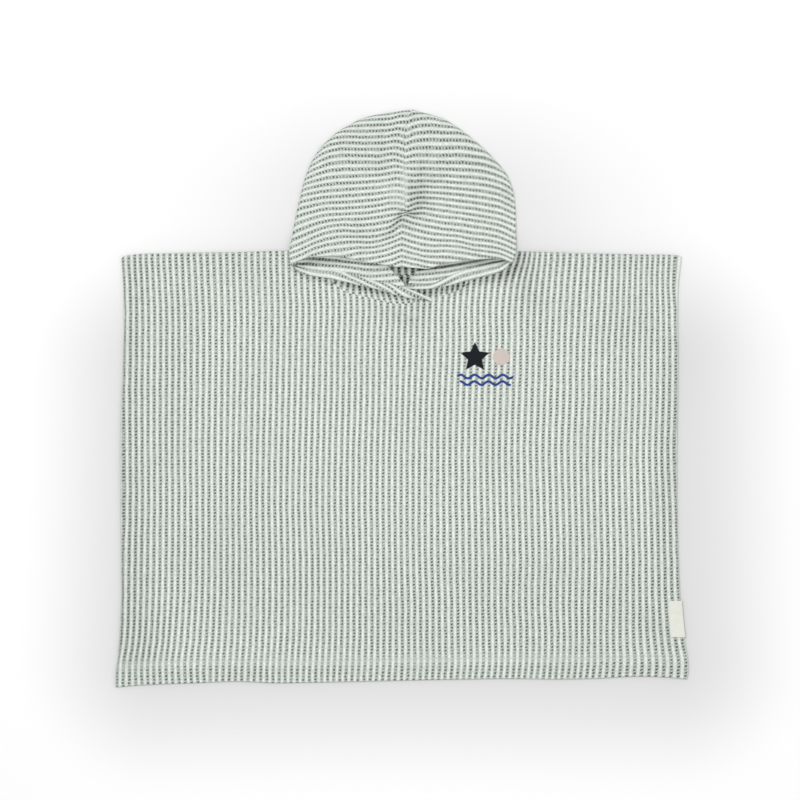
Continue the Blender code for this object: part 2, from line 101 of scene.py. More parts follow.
# x, y of the bottom edge
HEM_EDGE = (
    (-307.0, -308.9), (-293.0, -307.6), (-262.0, -305.7), (-221.0, -304.2), (-178.0, -302.6),
    (-135.0, -304.2), (-93.0, -303.6), (-28.0, -302.2), (14.0, -301.2), (57.0, -300.4),
    (121.0, -299.6), (164.0, -300.2), (207.0, -299.4), (250.0, -297.2), (277.0, -297.8),
    (307.0, -300.4),
)
# x, y of the shoulder line, across the neck as well
SHOULDER_EDGE = (
    (-302.0, 147.6), (-298.0, 151.4), (-290.0, 153.2), (-248.0, 155.4), (-172.0, 156.6),
    (-119.2, 158.3), (120.3, 157.4), (212.0, 154.9), (262.0, 153.8), (290.0, 153.2),
    (297.0, 152.2), (301.0, 149.6),
)
# x, y of the front neckline, which lies under the bands of the hood
FRONT_NECKLINE = (
    (-119.2, 158.3), (-115.8, 147.2), (-109.0, 138.6), (-100.0, 134.9), (-85.0, 132.6),
    (-65.0, 128.7), (-44.0, 123.5), (-27.0, 119.5), (-12.0, 115.6), (-3.0, 113.6), (4.0, 115.2),
    (10.0, 119.0), (17.0, 120.8), (27.0, 120.6), (34.0, 121.6), (46.0, 126.4), (62.0, 128.8),
    (72.0, 131.6), (89.0, 135.4), (99.0, 137.9), (108.0, 141.8), (115.5, 149.0), (120.3, 157.4),
)
BACK_NECK_RISE = 2.2       # of the back's neckline over the shoulder line, in its middle

LIP_SEAM_Y = 140.2         # the seam's ends: at the face edge, and at the nape
TIP_SEAM_Y = 306.2
CREASE_SEAM_Y = 149.4      # the row of the hood that is the crease over its band
BAND_DEPTH = CREASE_SEAM_Y - LIP_SEAM_Y
FOLD_HEIGHT = 5.4
FOLD_RADIUS = FOLD_HEIGHT / 2
FOLD_TURNS = (0.125, 0.25, 0.375, 0.5, 0.625, 0.75, 0.875)   # share of the half turn round the fold
CROWN_DROOP = 2.4          # how late the crown's rows turn down towards the silhouette
PINCH = dict(x=2.7, y=198.0, radius=11.0, depth=1.1)         # where the centre seam is puckered
# seam y and x of a row, x and y of the silhouette, x and y where the lower layer ends
LEFT_SECTIONS = (
    (140.2, -0.5, -118.8, 142.2, 31.6, 103.0),
    (142.5, -0.5, -119.4, 144.6, 32.0, 105.4),
    (146.0, -0.5, -120.0, 147.3, 18.5, 111.0),
    (149.4, -0.5, -120.4, 149.3, 4.4, 117.4),
    (152.0, -0.5, -120.55, 150.8, 0.6, 123.4),
    (157.0, -0.5, -120.7, 154.0, -8.0, 131.0),
    (164.0, -0.5, -120.3, 159.5, -16.8, 142.0),
    (173.0, -0.3, -119.0, 167.0, -11.0, 151.0),
    (186.0, 0.9, -116.9, 178.0, -4.0, 163.0),
    (198.0, 2.5, -114.7, 189.5, 0.0, 177.0),
    (215.0, 3.0, -111.5, 205.0, 1.5, 200.0),
    (232.0, 3.2, -108.0, 220.0, 2.5, 222.0),
    (249.0, 2.5, -103.0, 238.0, 2.5, 243.0),
    (266.0, 2.2, -94.5, 257.0, 2.4, 262.0),
    (281.0, 2.8, -81.0, 274.5, 2.8, 279.0),
    (293.5, 4.6, -58.0, 291.5, 4.4, 292.5),
    (301.8, 7.2, -29.0, 303.0, 7.0, 301.5),
    (306.2, 9.4, 8.4, 309.1, 9.4, 306.1),
)
RIGHT_SECTIONS = (
    (140.2, -0.5, 116.6, 144.2, -19.0, 117.0),
    (142.5, -0.5, 118.6, 146.4, -12.0, 119.0),
    (146.0, -0.5, 120.3, 149.0, -4.0, 121.4),
    (151.0, -0.5, 121.3, 152.0, 4.6, 124.0),
    (157.0, -0.5, 121.9, 156.0, 9.0, 130.0),
    (164.0, -0.5, 122.2, 161.5, 16.2, 140.5),
    (173.0, -0.3, 122.3, 169.0, 11.0, 151.0),
    (186.0, 0.9, 122.2, 180.0, 5.0, 163.0),
    (198.0, 2.5, 122.0, 191.5, 1.5, 177.0),
    (215.0, 3.0, 121.2, 206.0, 2.0, 200.0),
    (232.0, 3.2, 118.6, 223.0, 2.6, 222.0),
    (249.0, 2.5, 111.9, 239.5, 2.5, 243.0),
    (266.0, 2.2, 99.0, 255.5, 2.4, 262.0),
    (281.0, 2.8, 81.0, 273.0, 2.8, 279.0),
    (293.5, 4.6, 57.0, 291.5, 4.4, 292.5),
    (301.8, 7.2, 37.0, 301.7, 7.0, 301.5),
    (306.2, 9.4, 10.8, 308.9, 9.4, 306.1),
)
# share of the way from seam to silhouette, rise of the lip on the left half and on the right half
LIP_RISE = (
    (0.0, 0.0, 0.0), (0.1, 1.3, -0.6), (0.15, 2.4, -0.9), (0.26, 3.9, -1.8), (0.35, 6.2, 2.2),
    (0.44, 8.4, 4.2),
    (0.56, 10.4, 5.2), (0.7, 10.8, 5.9), (0.83, 9.0, 5.2), (0.93, 5.4, 3.6), (1.0, 0.0, 0.0),
)
LIP_FADE = (147.0, 205.0)  # seam y over which the rise is lost
# share of the way from silhouette to the end of the band, sag of its lower edge, left and right
BAND_SAG = (
    (0.0, 0.0, 0.0), (0.05, -4.2, -4.6), (0.11, -6.0, -6.2), (0.2, -5.0, -6.5), (0.33, -3.4, -6.6),
    (0.5, -3.3, -7.0), (0.63, -3.4, -9.0), (0.76, -4.6, -6.0), (0.86, -3.6, -1.2), (1.0, 0.0, 0.0),
)
SAG_FADE = (146.0, 182.0)  # seam y over which the sag is lost
CLOSED_Y = (196.0, 199.0)  # seam y from which the two lower layers meet at the middle
# the lower layer lies on the front as far as BAND_FADE (seam y), SIDE_FADE (y) and SIDE_STRIP (share
# of the way from silhouette to end), and it sinks from the front's level to the ground over FLOOR_RAMP
BAND_FADE = (151.0, 161.0)
SIDE_FADE = (159.0, 178.0)
SIDE_STRIP = (0.1, 0.22)
FLOOR_RAMP = (161.5, 186.0)
# the left half climbs over the right one: x, seam y, and x and share of the fall of its tip
CROSS_RAMP = (-37.0, -27.0)
CROSS_FADE = (155.0, 165.0)
CROSS_TIP = (15.0, 27.0, 0.8)
# soft folds of the crown: x and y of one end, x and y of the other, half width, height
CROWN_FOLDS = (
    (2.0, 214.0, 8.0, 296.0, 8.5, 1.3),
    (17.0, 204.0, 22.0, 238.0, 7.0, -1.2),
    (-22.0, 236.0, -17.0, 288.0, 8.0, -0.9),
    (-8.0, 196.0, -24.0, 176.0, 7.0, -1.0),
    (-46.0, 168.0, -53.0, 190.0, 6.0, -0.6),
    (12.0, 190.0, 46.0, 176.0, 8.0, 0.7),
    (72.0, 196.0, 88.0, 236.0, 11.0, 0.6),
    (-84.0, 190.0, -66.0, 240.0, 12.0, 0.5),
)
# seam y, height of the crown's plain side at the seam
CROWN_LEVELS = ((140.2, 8.0), (160.0, 7.6), (175.0, 6.0), (190.0, 5.5), (270.0, 5.3), (306.2, 3.6))
LABEL = dict(top=-216.2, bottom=-255.4, width=12.6, flare=0.1, thickness=1.0, clear=0.7,
             drop_to=2.6, bow=0.25, under_bow=0.15, rim=0.5, pinch=0.35)
LABEL_POINTS = dict(length=41, flat=18, bend=8, drop=4)

# ---------------------------------------------------------------- course of the stripes
DOT_PITCH = 3.49           # from one dark dot to the next along a stripe
KNOT_START_X = 70.0        # where the knots inside the hood line up from stripe to stripe
# y, then x of the dark stripes 0, 10, 20 and so on to 90, on the front
BODY_STRIPES = (
    (-306.0, -304.7, -238.4, -171.5, -105.5, -40.9, 25.4, 91.2, 156.6, 224.3, 302.4),
    (-284.6, -304.1, -239.1, -170.6, -104.9, -39.6, 27.0, 93.5, 159.3, 226.7, 303.7),
    (-258.9, -300.4, -236.3, -168.8, -103.3, -38.7, 26.7, 93.7, 160.2, 226.3, 299.9),
    (-216.1, -298.9, -233.5, -167.6, -102.4, -38.6, 26.5, 92.7, 159.2, 226.7, 296.0),
    (-173.3, -298.5, -232.6, -167.5, -102.5, -38.6, 25.2, 92.8, 160.1, 227.2, 294.5),
    (-109.1, -296.9, -232.3, -168.0, -104.0, -39.5, 24.9, 91.5, 158.7, 225.7, 293.0),
    (-55.6, -297.2, -232.7, -167.6, -103.2, -39.1, 25.2, 90.9, 157.5, 225.2, 290.9),
    (-2.1, -297.7, -232.3, -166.5, -101.6, -37.3, 26.5, 92.1, 159.3, 227.0, 292.4),
    (62.1, -296.8, -232.0, -165.5, -100.3, -36.4, 28.9, 94.4, 160.8, 228.0, 292.7),
    (94.2, -296.4, -232.4, -165.4, -99.5, -35.0, 29.6, 94.2, 161.9, 230.0, 291.9),
    (122.0, -297.2, -233.8, -166.2, -100.6, -35.7, 31.5, 96.3, 163.7, 231.1, 290.3),
    (149.8, -298.7, -235.3, -167.1, -101.2, -35.9, 35.0, 99.6, 166.5, 232.2, 291.6),
)
BODY_COLUMNS = (0, 10, 20, 30, 40, 50, 60, 70, 80, 90)
LAST_STRIPE = 90
STRIPE_STEP = 0.125        # from one column of points to the next
LEAST_PITCH = 0.02         # guards a division where two courses meet
VALLEY_SHARE = 0.3         # share of the cloth between two ribs
# places where the stripes are pulled sideways: x, y, pull in x, half width, half height
STRIPE_PULLS = (
    (118.0, 162.0, 6.4, 22.0, 28.0),
)
LEFT_MARGIN = 0.4          # stripes outside stripe 0, and outside the last one by y
RIGHT_MARGIN = dict(below=0.4, above=0.62, start=60.0, end=147.0)
# number of the stripe from the face edge, then its y at the x of each column
LEFT_CROWN_COLUMNS = (-121.4, -108.6, -94.7, -79.7, -63.7, -47.6, -33.7, -23.0, -15.5, -9.1, -3.7, 0.5)
LEFT_CROWN_STRIPES = (
    (0, 110.6, 115.3, 121.9, 125.9, 126.7, 130.0, 131.7, 134.0, 135.5, 137.2, 139.6, 140.7),
    (2, 122.2, 126.9, 133.5, 137.5, 138.4, 141.7, 143.3, 145.6, 147.2, 148.8, 151.3, 152.3),
    (4, 135.3, 140.0, 146.6, 150.7, 151.5, 154.8, 155.9, 157.4, 159.2, 161.6, 163.7, 165.0),
    (6, 148.5, 153.2, 159.8, 164.0, 166.4, 167.3, 166.7, 168.7, 171.1, 173.2, 176.1, 177.9),
    (8, 161.0, 165.5, 172.0, 177.1, 179.4, 178.7, 179.4, 180.9, 182.4, 185.4, 189.6, 191.3),
    (9, 168.5, 172.9, 178.9, 183.4, 185.6, 185.1, 186.0, 187.7, 188.9, 191.0, 193.8, 195.6),
    (10, 176.0, 180.8, 186.0, 189.5, 191.3, 191.5, 192.6, 194.2, 195.4, 196.4, 197.2, 198.0),
    (11, 183.8, 188.4, 193.0, 196.1, 197.1, 197.9, 198.9, 200.7, 202.0, 202.6, 202.5, 201.6),
    (12, 191.2, 195.8, 199.7, 202.6, 203.3, 204.3, 205.3, 206.9, 208.4, 208.9, 208.7, 207.7),
    (14, 205.4, 209.9, 213.2, 215.3, 216.3, 217.4, 218.5, 219.6, 220.7, 221.5, 221.5, 220.4),
    (17, 223.5, 228.0, 232.1, 235.6, 237.4, 237.9, 238.5, 239.1, 240.1, 241.4, 241.5, 240.7),
    (20, 239.8, 244.3, 250.4, 257.2, 259.8, 259.6, 259.6, 259.2, 260.6, 261.2, 260.4, 258.9),
    (23, 256.4, 260.9, 267.0, 276.5, 279.6, 279.4, 279.4, 279.7, 280.1, 281.4, 281.7, 280.5),
    (26, 273.6, 278.2, 284.2, 293.7, 296.9, 297.6, 298.1, 298.5, 298.9, 299.9, 301.3, 302.2),
    (28, 284.9, 289.4, 295.4, 305.0, 308.1, 308.8, 309.4, 309.7, 310.1, 311.2, 312.6, 313.4),
)
RIGHT_CROWN_COLUMNS = (0.5, 3.7, 7.0, 11.2, 16.6, 23.0, 31.6, 43.3, 59.4, 75.4, 91.5, 105.4, 120.4)
RIGHT_CROWN_STRIPES = (
    (0, 140.4, 139.7, 138.8, 137.7, 136.9, 135.2, 133.7, 132.9, 132.0, 128.4, 126.1, 123.5, 117.0),
    (2, 152.0, 151.3, 150.3, 149.3, 148.4, 146.7, 145.2, 144.5, 143.6, 140.0, 137.6, 135.1, 128.5),
    (4, 164.5, 163.3, 162.1, 160.8, 159.4, 158.2, 157.4, 157.6, 156.3, 153.8, 151.5, 149.0, 142.4),
    (6, 177.5, 176.5, 175.4, 173.9, 172.5, 171.2, 169.7, 169.0, 167.9, 164.1, 162.3, 159.7, 153.1),
    (8, 190.7, 190.4, 189.3, 187.6, 186.5, 184.9, 183.2, 181.2, 179.6, 177.1, 174.9, 171.8, 165.4),
    (9, 196.1, 196.1, 195.4, 193.6, 192.8, 191.6, 189.9, 187.8, 186.3, 183.8, 181.4, 178.2, 171.6),
    (10, 199.2, 199.0, 198.2, 197.6, 198.0, 197.9, 196.3, 194.2, 192.9, 190.5, 187.8, 184.9, 178.2),
    (11, 201.2, 200.6, 200.2, 201.8, 203.5, 203.7, 202.6, 200.9, 198.7, 196.7, 193.8, 191.2, 185.0),
    (12, 206.5, 205.5, 205.4, 207.1, 209.1, 209.1, 208.3, 207.0, 204.8, 203.1, 200.3, 197.7, 191.3),
    (14, 219.7, 219.0, 218.6, 219.2, 220.1, 220.5, 220.2, 219.6, 217.9, 216.1, 213.8, 210.7, 204.0),
    (17, 240.0, 239.6, 239.3, 238.9, 238.9, 239.2, 238.6, 238.3, 237.5, 236.6, 234.5, 230.5, 223.0),
    (20, 257.9, 257.9, 258.8, 259.6, 260.2, 260.1, 260.0, 259.9, 260.1, 259.0, 256.2, 250.7, 242.7),
    (23, 279.4, 279.3, 280.3, 282.2, 283.7, 284.2, 284.6, 284.2, 283.7, 281.7, 277.6, 272.1, 264.1),
    (26, 301.6, 301.8, 302.7, 304.4, 305.6, 306.2, 306.1, 303.6, 301.0, 299.0, 295.0, 289.5, 281.5),
    (28, 313.3, 313.5, 314.5, 316.2, 317.4, 318.0, 317.9, 315.4, 312.8, 310.8, 306.7, 301.2, 293.2),
)

# ---------------------------------------------------------------- bands of the hood, seen from above
# x, y of the lower edge, y of the crease above the roll, y of stripe 0 on the roll, pitch there
LEFT_BAND = (
    (-120.4, 143.4, 145.0, 148.9, 4.4),
    (-114.4, 137.4, 142.6, 147.0, 4.6),
    (-108.6, 134.2, 140.7, 145.0, 5.0),
    (-97.9, 131.5, 139.3, 143.4, 6.4),
    (-87.2, 129.6, 138.8, 142.8, 7.4),
    (-76.5, 128.0, 138.0, 141.8, 7.5),
    (-65.8, 125.9, 136.6, 140.0, 8.3),
    (-55.1, 123.4, 133.4, 133.2, 5.8),
    (-44.4, 120.5, 129.9, 128.4, 5.8),
    (-33.7, 118.5, 127.0, 123.2, 5.8),
    (-23.0, 115.7, 124.9, 118.2, 6.2),
    (-12.3, 112.5, 123.1, 112.2, 5.9),
    (-1.6, 109.0, 119.4, 100.8, 8.6),
    (9.1, 107.1, 114.4, 93.8, 9.1),
    (19.8, 105.4, 109.6, 90.2, 8.6),
    (30.5, 103.4, 105.2, 84.6, 8.6),
)
RIGHT_BAND = (
    (-19.0, 116.9, 122.8, 115.0, 6.2),
    (9.1, 116.9, 122.6, 115.0, 6.2),
    (19.8, 116.6, 121.9, 114.9, 6.4),
    (30.5, 117.2, 122.5, 116.0, 6.6),
    (41.2, 118.8, 126.7, 120.1, 7.0),
    (51.9, 121.4, 131.6, 125.7, 7.3),
    (62.6, 124.1, 136.1, 130.4, 7.4),
    (73.3, 126.8, 138.8, 133.3, 7.4),
    (84.0, 129.5, 140.8, 135.8, 7.2),
    (94.7, 131.6, 142.6, 138.5, 6.8),
    (105.4, 135.5, 145.3, 141.5, 6.2),
    (108.6, 137.0, 146.2, 143.3, 6.1),
    (112.6, 140.0, 147.0, 146.0, 5.8),
    (116.1, 143.8, 147.9, 148.5, 5.4),
    (119.6, 146.4, 149.0, 150.4, 5.2),
)
# number of the stripe on the inner face above the roll, then its y at the x of each column
LEFT_FACE_COLUMNS = (-114.0, -97.9, -76.5, -55.1, -33.7, -12.3, 3.7)
LEFT_FACE_STRIPES = (
    (2, 130.2, 126.4, 124.4, 123.2, 121.5, 119.3, 119.0),
    (3, 134.6, 131.4, 129.6, 128.8, 125.2, 125.2, 126.5),
    (4, 139.2, 136.6, 135.0, 133.6, 130.5, 132.3, 133.8),
    (5, 144.4, 143.6, 141.9, 140.2, 137.7, 138.5, 139.6),
    (6, 148.4, 149.6, 148.1, 145.7, 143.4, 145.5, 147.7),
)
RIGHT_FACE_COLUMNS = (-1.6, 9.1, 19.8, 30.5, 41.2, 51.9, 73.3, 94.7, 112.0)
RIGHT_FACE_STRIPES = (
    (3, 118.5, 117.5, 116.6, 116.6, 117.0, 117.9, 127.0, 132.6, 137.6),
    (4, 122.6, 122.3, 121.6, 122.0, 122.4, 123.6, 131.2, 136.8, 141.6),
    (5, 127.1, 127.0, 126.7, 127.3, 128.6, 130.4, 134.8, 140.7, 144.8),
    (6, 132.2, 132.1, 132.7, 133.5, 134.6, 136.4, 140.2, 144.6, 147.8),
    (7, 137.5, 137.5, 138.0, 139.1, 140.3, 141.9, 146.0, 149.8, 151.0),
)

# ---------------------------------------------------------------- finer form
# x, y of the lower edge of the facing inside the front neckline
FACING_EDGE = (
    (-77.6, 127.3), (-72.2, 122.0), (-65.8, 117.2), (-59.4, 113.4), (-45.5, 110.2), (-32.6, 107.0),
    (-19.8, 103.8), (-7.0, 101.1), (7.0, 101.7), (19.8, 104.3), (32.6, 106.5), (45.5, 110.7),
    (58.9, 115.0), (65.8, 118.8), (73.3, 126.8),
)
# x, shift of the facing's stripes in stripes, and the same per mm of height above its lower edge
FACING_SHIFT = (
    (-77.6, 0.6, -0.03), (-60.0, 0.6, -0.03), (-52.0, 0.5, -0.01), (-45.5, 0.46, 0.0),
    (-38.0, 0.4, 0.02), (-26.0, 0.36, 0.034), (-13.4, 0.34, 0.05), (0.0, 0.3, 0.05),
    (9.0, 0.5, 0.04), (18.2, 0.98, 0.0), (24.1, 1.07, 0.0), (30.0, 1.1, 0.0), (36.9, 1.1, 0.0),
    (42.3, 1.2, 0.0), (48.1, 1.33, 0.0), (54.0, 1.45, 0.0), (59.4, 1.6, 0.0), (65.8, 1.68, 0.0),
    (73.3, 1.8, 0.0),
)
FACING_RELIEF = 0.6
FACING_GROOVE = 0.5
FACING_MARGIN = 3.0        # least depth of the facing under the neckline
FACING_FADE = 4.0          # from its two ends to its full relief
# mm above its lower edge over which it rises, and where its groove runs
FACING_STEP = (-0.6, 0.5)
FACING_GROOVE_Y = -0.5
FACING_GROOVE_WIDTH = 0.9
# line of stitches that holds the hem, as x and y
HEM_LINE = (
    (-306.0, -282.6), (-280.0, -282.2), (-237.0, -281.0), (-151.0, -280.4), (-108.0, -281.4),
    (-23.0, -279.8), (20.0, -278.6), (105.0, -277.9), (191.0, -277.4), (234.0, -276.4),
    (277.0, -275.4), (306.0, -275.2),
)
HEM_GROOVE = 0.6           # depth and half width of the groove that the stitches pull in
HEM_GROOVE_WIDTH = 0.8
HEM_STITCHES = dict(count=196, reach=297.0, half=1.05, z=4.35, thickness=0.55)
# the back's stripes in the opening: x of stripe 0, pitch, shift below break_y; then the stripes of
# the front over that place, and how many to each side
BACK_NECK = dict(x=-3.0, pitch=7.3, shift=0.69, break_y=131.8, stripe=45.0, half_width=6.0)
THIN_EDGE = dict(front=0.15, back=0.1, crown=0.3)      # share of the wall left at the very edge
RELIEF_FADE = 6.0          # from the front's edge to the full height of its relief
EDGE_ROUND = 0.9           # rounding of the front's edge, of the back's, and its ribs below
BACK_ROUND = 1.2
UNDER_ROUND = 4.0
LIP_ROUND = 3.2            # rounding of the crown at its lip, and at its seam
SEAM_ROUND = 1.6
SEAM_DIP = 0.3
HAIRLINE = 0.02            # half of the space between the two halves of the hood at their seam
TURN_RADIUS = 7.0          # how roundly the hood's cloth turns down at its silhouette
MOST_TURN = 0.999          # share of that radius at which the cloth counts as turned down
ROLL_HEIGHT = 1.1          # of the rolled band over its wall
CREASE_DIP = 0.5           # depth and half width of the crease beside the roll
CREASE_WIDTH = 2.2
CREASE_REACH = 3.0         # how far the crease runs past the middle
SHIFT_FADE = (150.0, 176.0)            # seam y over which the rows leave the band's lines
BAND_ROUND = 1.2           # rounding of the band's edge and of the lower layer's end
BAND_RIM = dict(least=0.08, wall=0.45, lift=0.4)       # how thin it grows there, and lifts
# share of the way from seam to silhouette where the crown's level, folds and wall start to change
# to those of the fold; and from there, where the lower layer has its own rows, stripes and wall
CROWN_TURN = dict(level=0.62, folds=0.8, wall=0.78)
LOWER_START = dict(rows=0.03, stripes=0.05, wall=0.12)
SIDE_WALL = 1.7            # wall and ribs of the hood at its silhouette
SIDE_RIB = 0.6
# soft creases of the front: x and y of one end, x and y of the other, half width, height
FRONT_FOLDS = (
    (-4.0, 93.0, 14.0, 91.0, 4.0, 0.5),
    (-14.0, 88.0, 13.0, 83.5, 3.6, -0.6),
    (-210.0, 120.0, -150.0, 60.0, 16.0, 0.45),
    (-270.0, -120.0, -240.0, -230.0, 20.0, 0.5),
    (-120.0, -40.0, -90.0, -190.0, 24.0, -0.4),
    (40.0, -100.0, 10.0, -240.0, 22.0, 0.45),
    (180.0, 60.0, 215.0, -60.0, 24.0, 0.4),
    (250.0, -150.0, 270.0, -260.0, 16.0, -0.45),
    (140.0, -250.0, 215.0, -262.0, 14.0, 0.4),
    (-180.0, -268.0, -60.0, -262.0, 12.0, 0.35),
    (230.0, 120.0, 262.0, 30.0, 18.0, -0.4),
)

# ---------------------------------------------------------------- shade in folds and under edges
# each strip is a run of rows of x, y, half width, and share of the light that is lost
BACK_SHADE = (
    ((-22.0, 141.0, 12.0, 0.95), (-6.0, 141.0, 12.0, 0.8), (6.0, 141.0, 12.0, 0.8),
     (20.0, 141.0, 12.0, 1.0)),
    ((-8.0, 132.0, 4.0, 0.9), (2.0, 126.0, 9.0, 0.9), (2.0, 112.0, 12.0, 0.9)),
    ((-12.0, 131.8, 0.9, 0.85), (16.0, 131.8, 0.9, 0.85)),
)
LEFT_INNER_SHADE = (
    ((-117.0, 141.5, 3.4, 0.7), (-108.0, 143.4, 4.8, 0.78), (-98.0, 146.2, 5.4, 0.72),
     (-87.0, 148.4, 5.4, 0.7), (-66.0, 148.6, 5.0, 0.56), (-52.0, 147.0, 3.6, 0.46),
     (-38.0, 145.0, 3.0, 0.4), (-17.0, 142.3, 3.0, 0.42)),
    ((0.0, 108.4, 2.4, 0.2), (12.0, 105.4, 3.6, 0.4), (26.0, 102.6, 3.6, 0.42)),
)
RIGHT_INNER_SHADE = (
    ((10.0, 138.6, 5.6, 0.95), (20.0, 138.4, 3.8, 0.9), (30.5, 138.4, 3.0, 0.8),
     (42.0, 141.4, 3.8, 0.86), (52.0, 143.0, 3.8, 0.82), (66.0, 144.0, 3.8, 0.76),
     (80.0, 144.8, 3.8, 0.8), (95.0, 146.0, 3.8, 0.9), (109.0, 147.4, 3.4, 0.9),
     (116.0, 147.2, 2.4, 0.5)),
    ((2.0, 123.0, 2.6, 0.3), (9.0, 118.0, 3.4, 0.4)),
)
FRONT_SHADE = (
    ((-116.0, 138.0, 3.4, 0.46), (-97.9, 130.8, 3.6, 0.55), (-75.0, 126.6, 4.2, 0.6),
     (-56.0, 122.2, 4.8, 0.85), (-42.0, 118.6, 4.6, 0.85), (-20.9, 113.6, 4.0, 0.66),
     (-5.0, 109.0, 3.6, 0.5), (18.0, 104.6, 3.0, 0.4)),
    ((8.0, 114.0, 7.0, 0.9), (20.0, 113.0, 6.6, 0.9), (32.0, 114.6, 5.6, 0.7),
     (41.2, 117.0, 5.2, 0.6), (52.0, 118.6, 6.6, 0.74), (62.0, 121.4, 6.6, 0.78),
     (70.0, 125.0, 5.2, 0.62), (84.0, 128.0, 6.0, 0.6), (100.0, 131.0, 7.0, 0.64),
     (111.0, 134.0, 9.0, 0.68), (121.0, 140.0, 10.0, 0.66), (127.0, 156.0, 9.0, 0.5)),
    ((-20.9, 96.0, 10.0, 0.12), (12.0, 80.0, 10.0, 0.14)),
    ((-306.0, 156.0, 26.0, 0.09), (306.0, 156.0, 26.0, 0.09)),
    ((128.0, 152.0, 17.0, 0.3), (134.0, 120.0, 15.0, 0.2), (146.0, 84.0, 18.0, 0.06)),
    ((-286.0, 140.0, 26.0, 0.13), (-290.0, 60.0, 16.0, 0.16), (-290.0, -60.0, 16.0, 0.14),
     (-290.0, -210.0, 26.0, 0.17), (-290.0, -270.0, 40.0, 0.24)),
    ((288.0, 60.0, 12.0, 0.1), (286.0, -60.0, 14.0, 0.16), (284.0, -210.0, 22.0, 0.15)),
    ((-300.0, -296.0, 9.0, 0.17), (0.0, -292.0, 9.0, 0.14), (300.0, -290.0, 10.0, 0.19)),
    ((-210.0, -160.0, 90.0, 0.07), (-20.0, -230.0, 80.0, 0.075), (230.0, -220.0, 80.0, 0.08)),
    ((262.0, -236.0, 22.0, 0.14), (290.0, -262.0, 16.0, 0.17)),
    ((-13.0, 90.0, 4.0, 0.14), (-6.0, 86.6, 4.0, 0.26), (4.0, 84.5, 4.6, 0.27),
     (12.0, 83.8, 5.0, 0.28), (22.0, 86.0, 6.0, 0.12)),
    ((11.0, 96.4, 3.6, 0.18), (20.0, 97.4, 3.6, 0.18), (29.0, 97.4, 4.0, 0.16)),
    ((-22.0, 99.0, 3.6, 0.12), (-15.0, 97.6, 3.6, 0.1)),
    ((200.0, 90.0, 30.0, 0.05), (262.0, 80.0, 30.0, 0.08)),
    ((-240.0, 90.0, 26.0, 0.06), (-250.0, -70.0, 24.0, 0.08)),
)
CROWN_SHADE = (
    ((-1.6, 199.0, 3.0, 0.5), (3.0, 199.6, 3.6, 0.42), (7.0, 198.0, 4.0, 0.66),
     (14.0, 196.6, 4.2, 0.5), (20.0, 199.0, 4.4, 0.3)),
    ((-1.2, 200.0, 2.4, 0.56), (-3.0, 194.0, 3.2, 0.62), (-7.0, 186.0, 4.0, 0.44),
     (-14.4, 175.5, 4.4, 0.26), (-22.0, 172.0, 4.6, 0.14)),
    ((14.0, 203.0, 7.0, 0.4), (19.0, 212.0, 10.0, 0.42), (17.0, 226.0, 9.0, 0.34),
     (22.0, 240.0, 8.0, 0.2), (22.0, 256.0, 7.0, 0.14)),
    ((2.0, 190.0, 6.0, 0.3), (8.0, 182.0, 7.0, 0.1)),
    ((9.4, 236.0, 2.4, 0.16), (9.4, 226.0, 2.8, 0.3), (9.8, 214.0, 3.0, 0.42), (10.0, 206.0, 3.0, 0.4)),
    ((-2.1, 196.0, 2.2, 0.75), (-1.6, 190.5, 2.4, 0.7)),
    ((7.4, 201.0, 2.4, 0.75), (9.0, 196.5, 2.4, 0.65)),
    ((22.0, 232.0, 9.0, 0.1), (38.0, 238.0, 9.0, 0.14)),
    ((-46.0, 182.0, 7.0, 0.1), (-43.0, 162.0, 7.0, 0.1)),
    ((-22.0, 290.0, 8.0, 0.14), (-22.0, 248.0, 9.0, 0.12)),
    ((12.2, 305.0, 4.6, 0.18), (11.2, 284.0, 5.0, 0.1)),
    ((-60.0, 276.0, 34.0, 0.07), (70.0, 276.0, 34.0, 0.07)),
    ((41.0, 256.0, 9.0, 0.1), (95.0, 252.0, 9.0, 0.12)),
    ((50.0, 292.0, 7.0, 0.12), (76.0, 274.0, 7.0, 0.12)),
    ((112.0, 222.0, 6.0, 0.16), (117.0, 210.0, 6.0, 0.1)),
    ((-40.0, 300.0, 6.0, 0.1), (-16.0, 304.0, 5.0, 0.1)),
)
SHADE_SHARE = dict(rib=0.5, stripe=0.76, knot=0.6)     # how strongly the shade acts on each
SHADE_GROWTH = 0.36        # how much wider a knot looks where no light is left
# painted highlight, as strips of the same kind: the knots and then the stripes grow faint, so that the
# seam ridge, the rolled bands and the hem's line look lit
FRONT_HIGHLIGHT = (
    ((-304.0, -287.0, 4.4, 0.9), (-280.0, -285.2, 4.4, 0.85), (-237.0, -282.2, 3.6, 0.62),
     (-151.0, -281.2, 3.6, 0.62), (-108.0, -282.4, 3.8, 0.68), (-23.0, -280.6, 4.0, 0.74),
     (20.0, -279.0, 4.4, 0.86), (105.0, -278.6, 4.2, 0.76), (191.0, -278.2, 4.0, 0.72),
     (234.0, -276.8, 3.6, 0.5), (277.0, -275.8, 3.6, 0.5), (304.0, -275.6, 3.6, 0.4)),
)
CROWN_HIGHLIGHT = (
    ((2.4, 254.0, 3.0, 0.5), (2.8, 236.0, 4.2, 0.95), (2.8, 214.0, 4.2, 1.0), (2.0, 206.0, 3.0, 0.6)),
    ((-20.0, 228.0, 7.0, 0.5), (-8.0, 222.0, 7.0, 0.62), (-10.0, 214.0, 6.0, 0.4)),
)
LEFT_INNER_HIGHLIGHT = (
    ((-112.0, 138.6, 3.0, 0.5), (-92.0, 135.6, 4.0, 0.6), (-70.0, 132.0, 3.6, 0.5)),
)
RIGHT_INNER_HIGHLIGHT = (
    ((60.0, 130.0, 3.0, 0.3), (112.0, 145.0, 3.0, 0.4)),
)
# share by which a stripe pales in the painted highlight
HIGHLIGHT_PALING = 0.3            # how far a stripe pales where its knots are gone
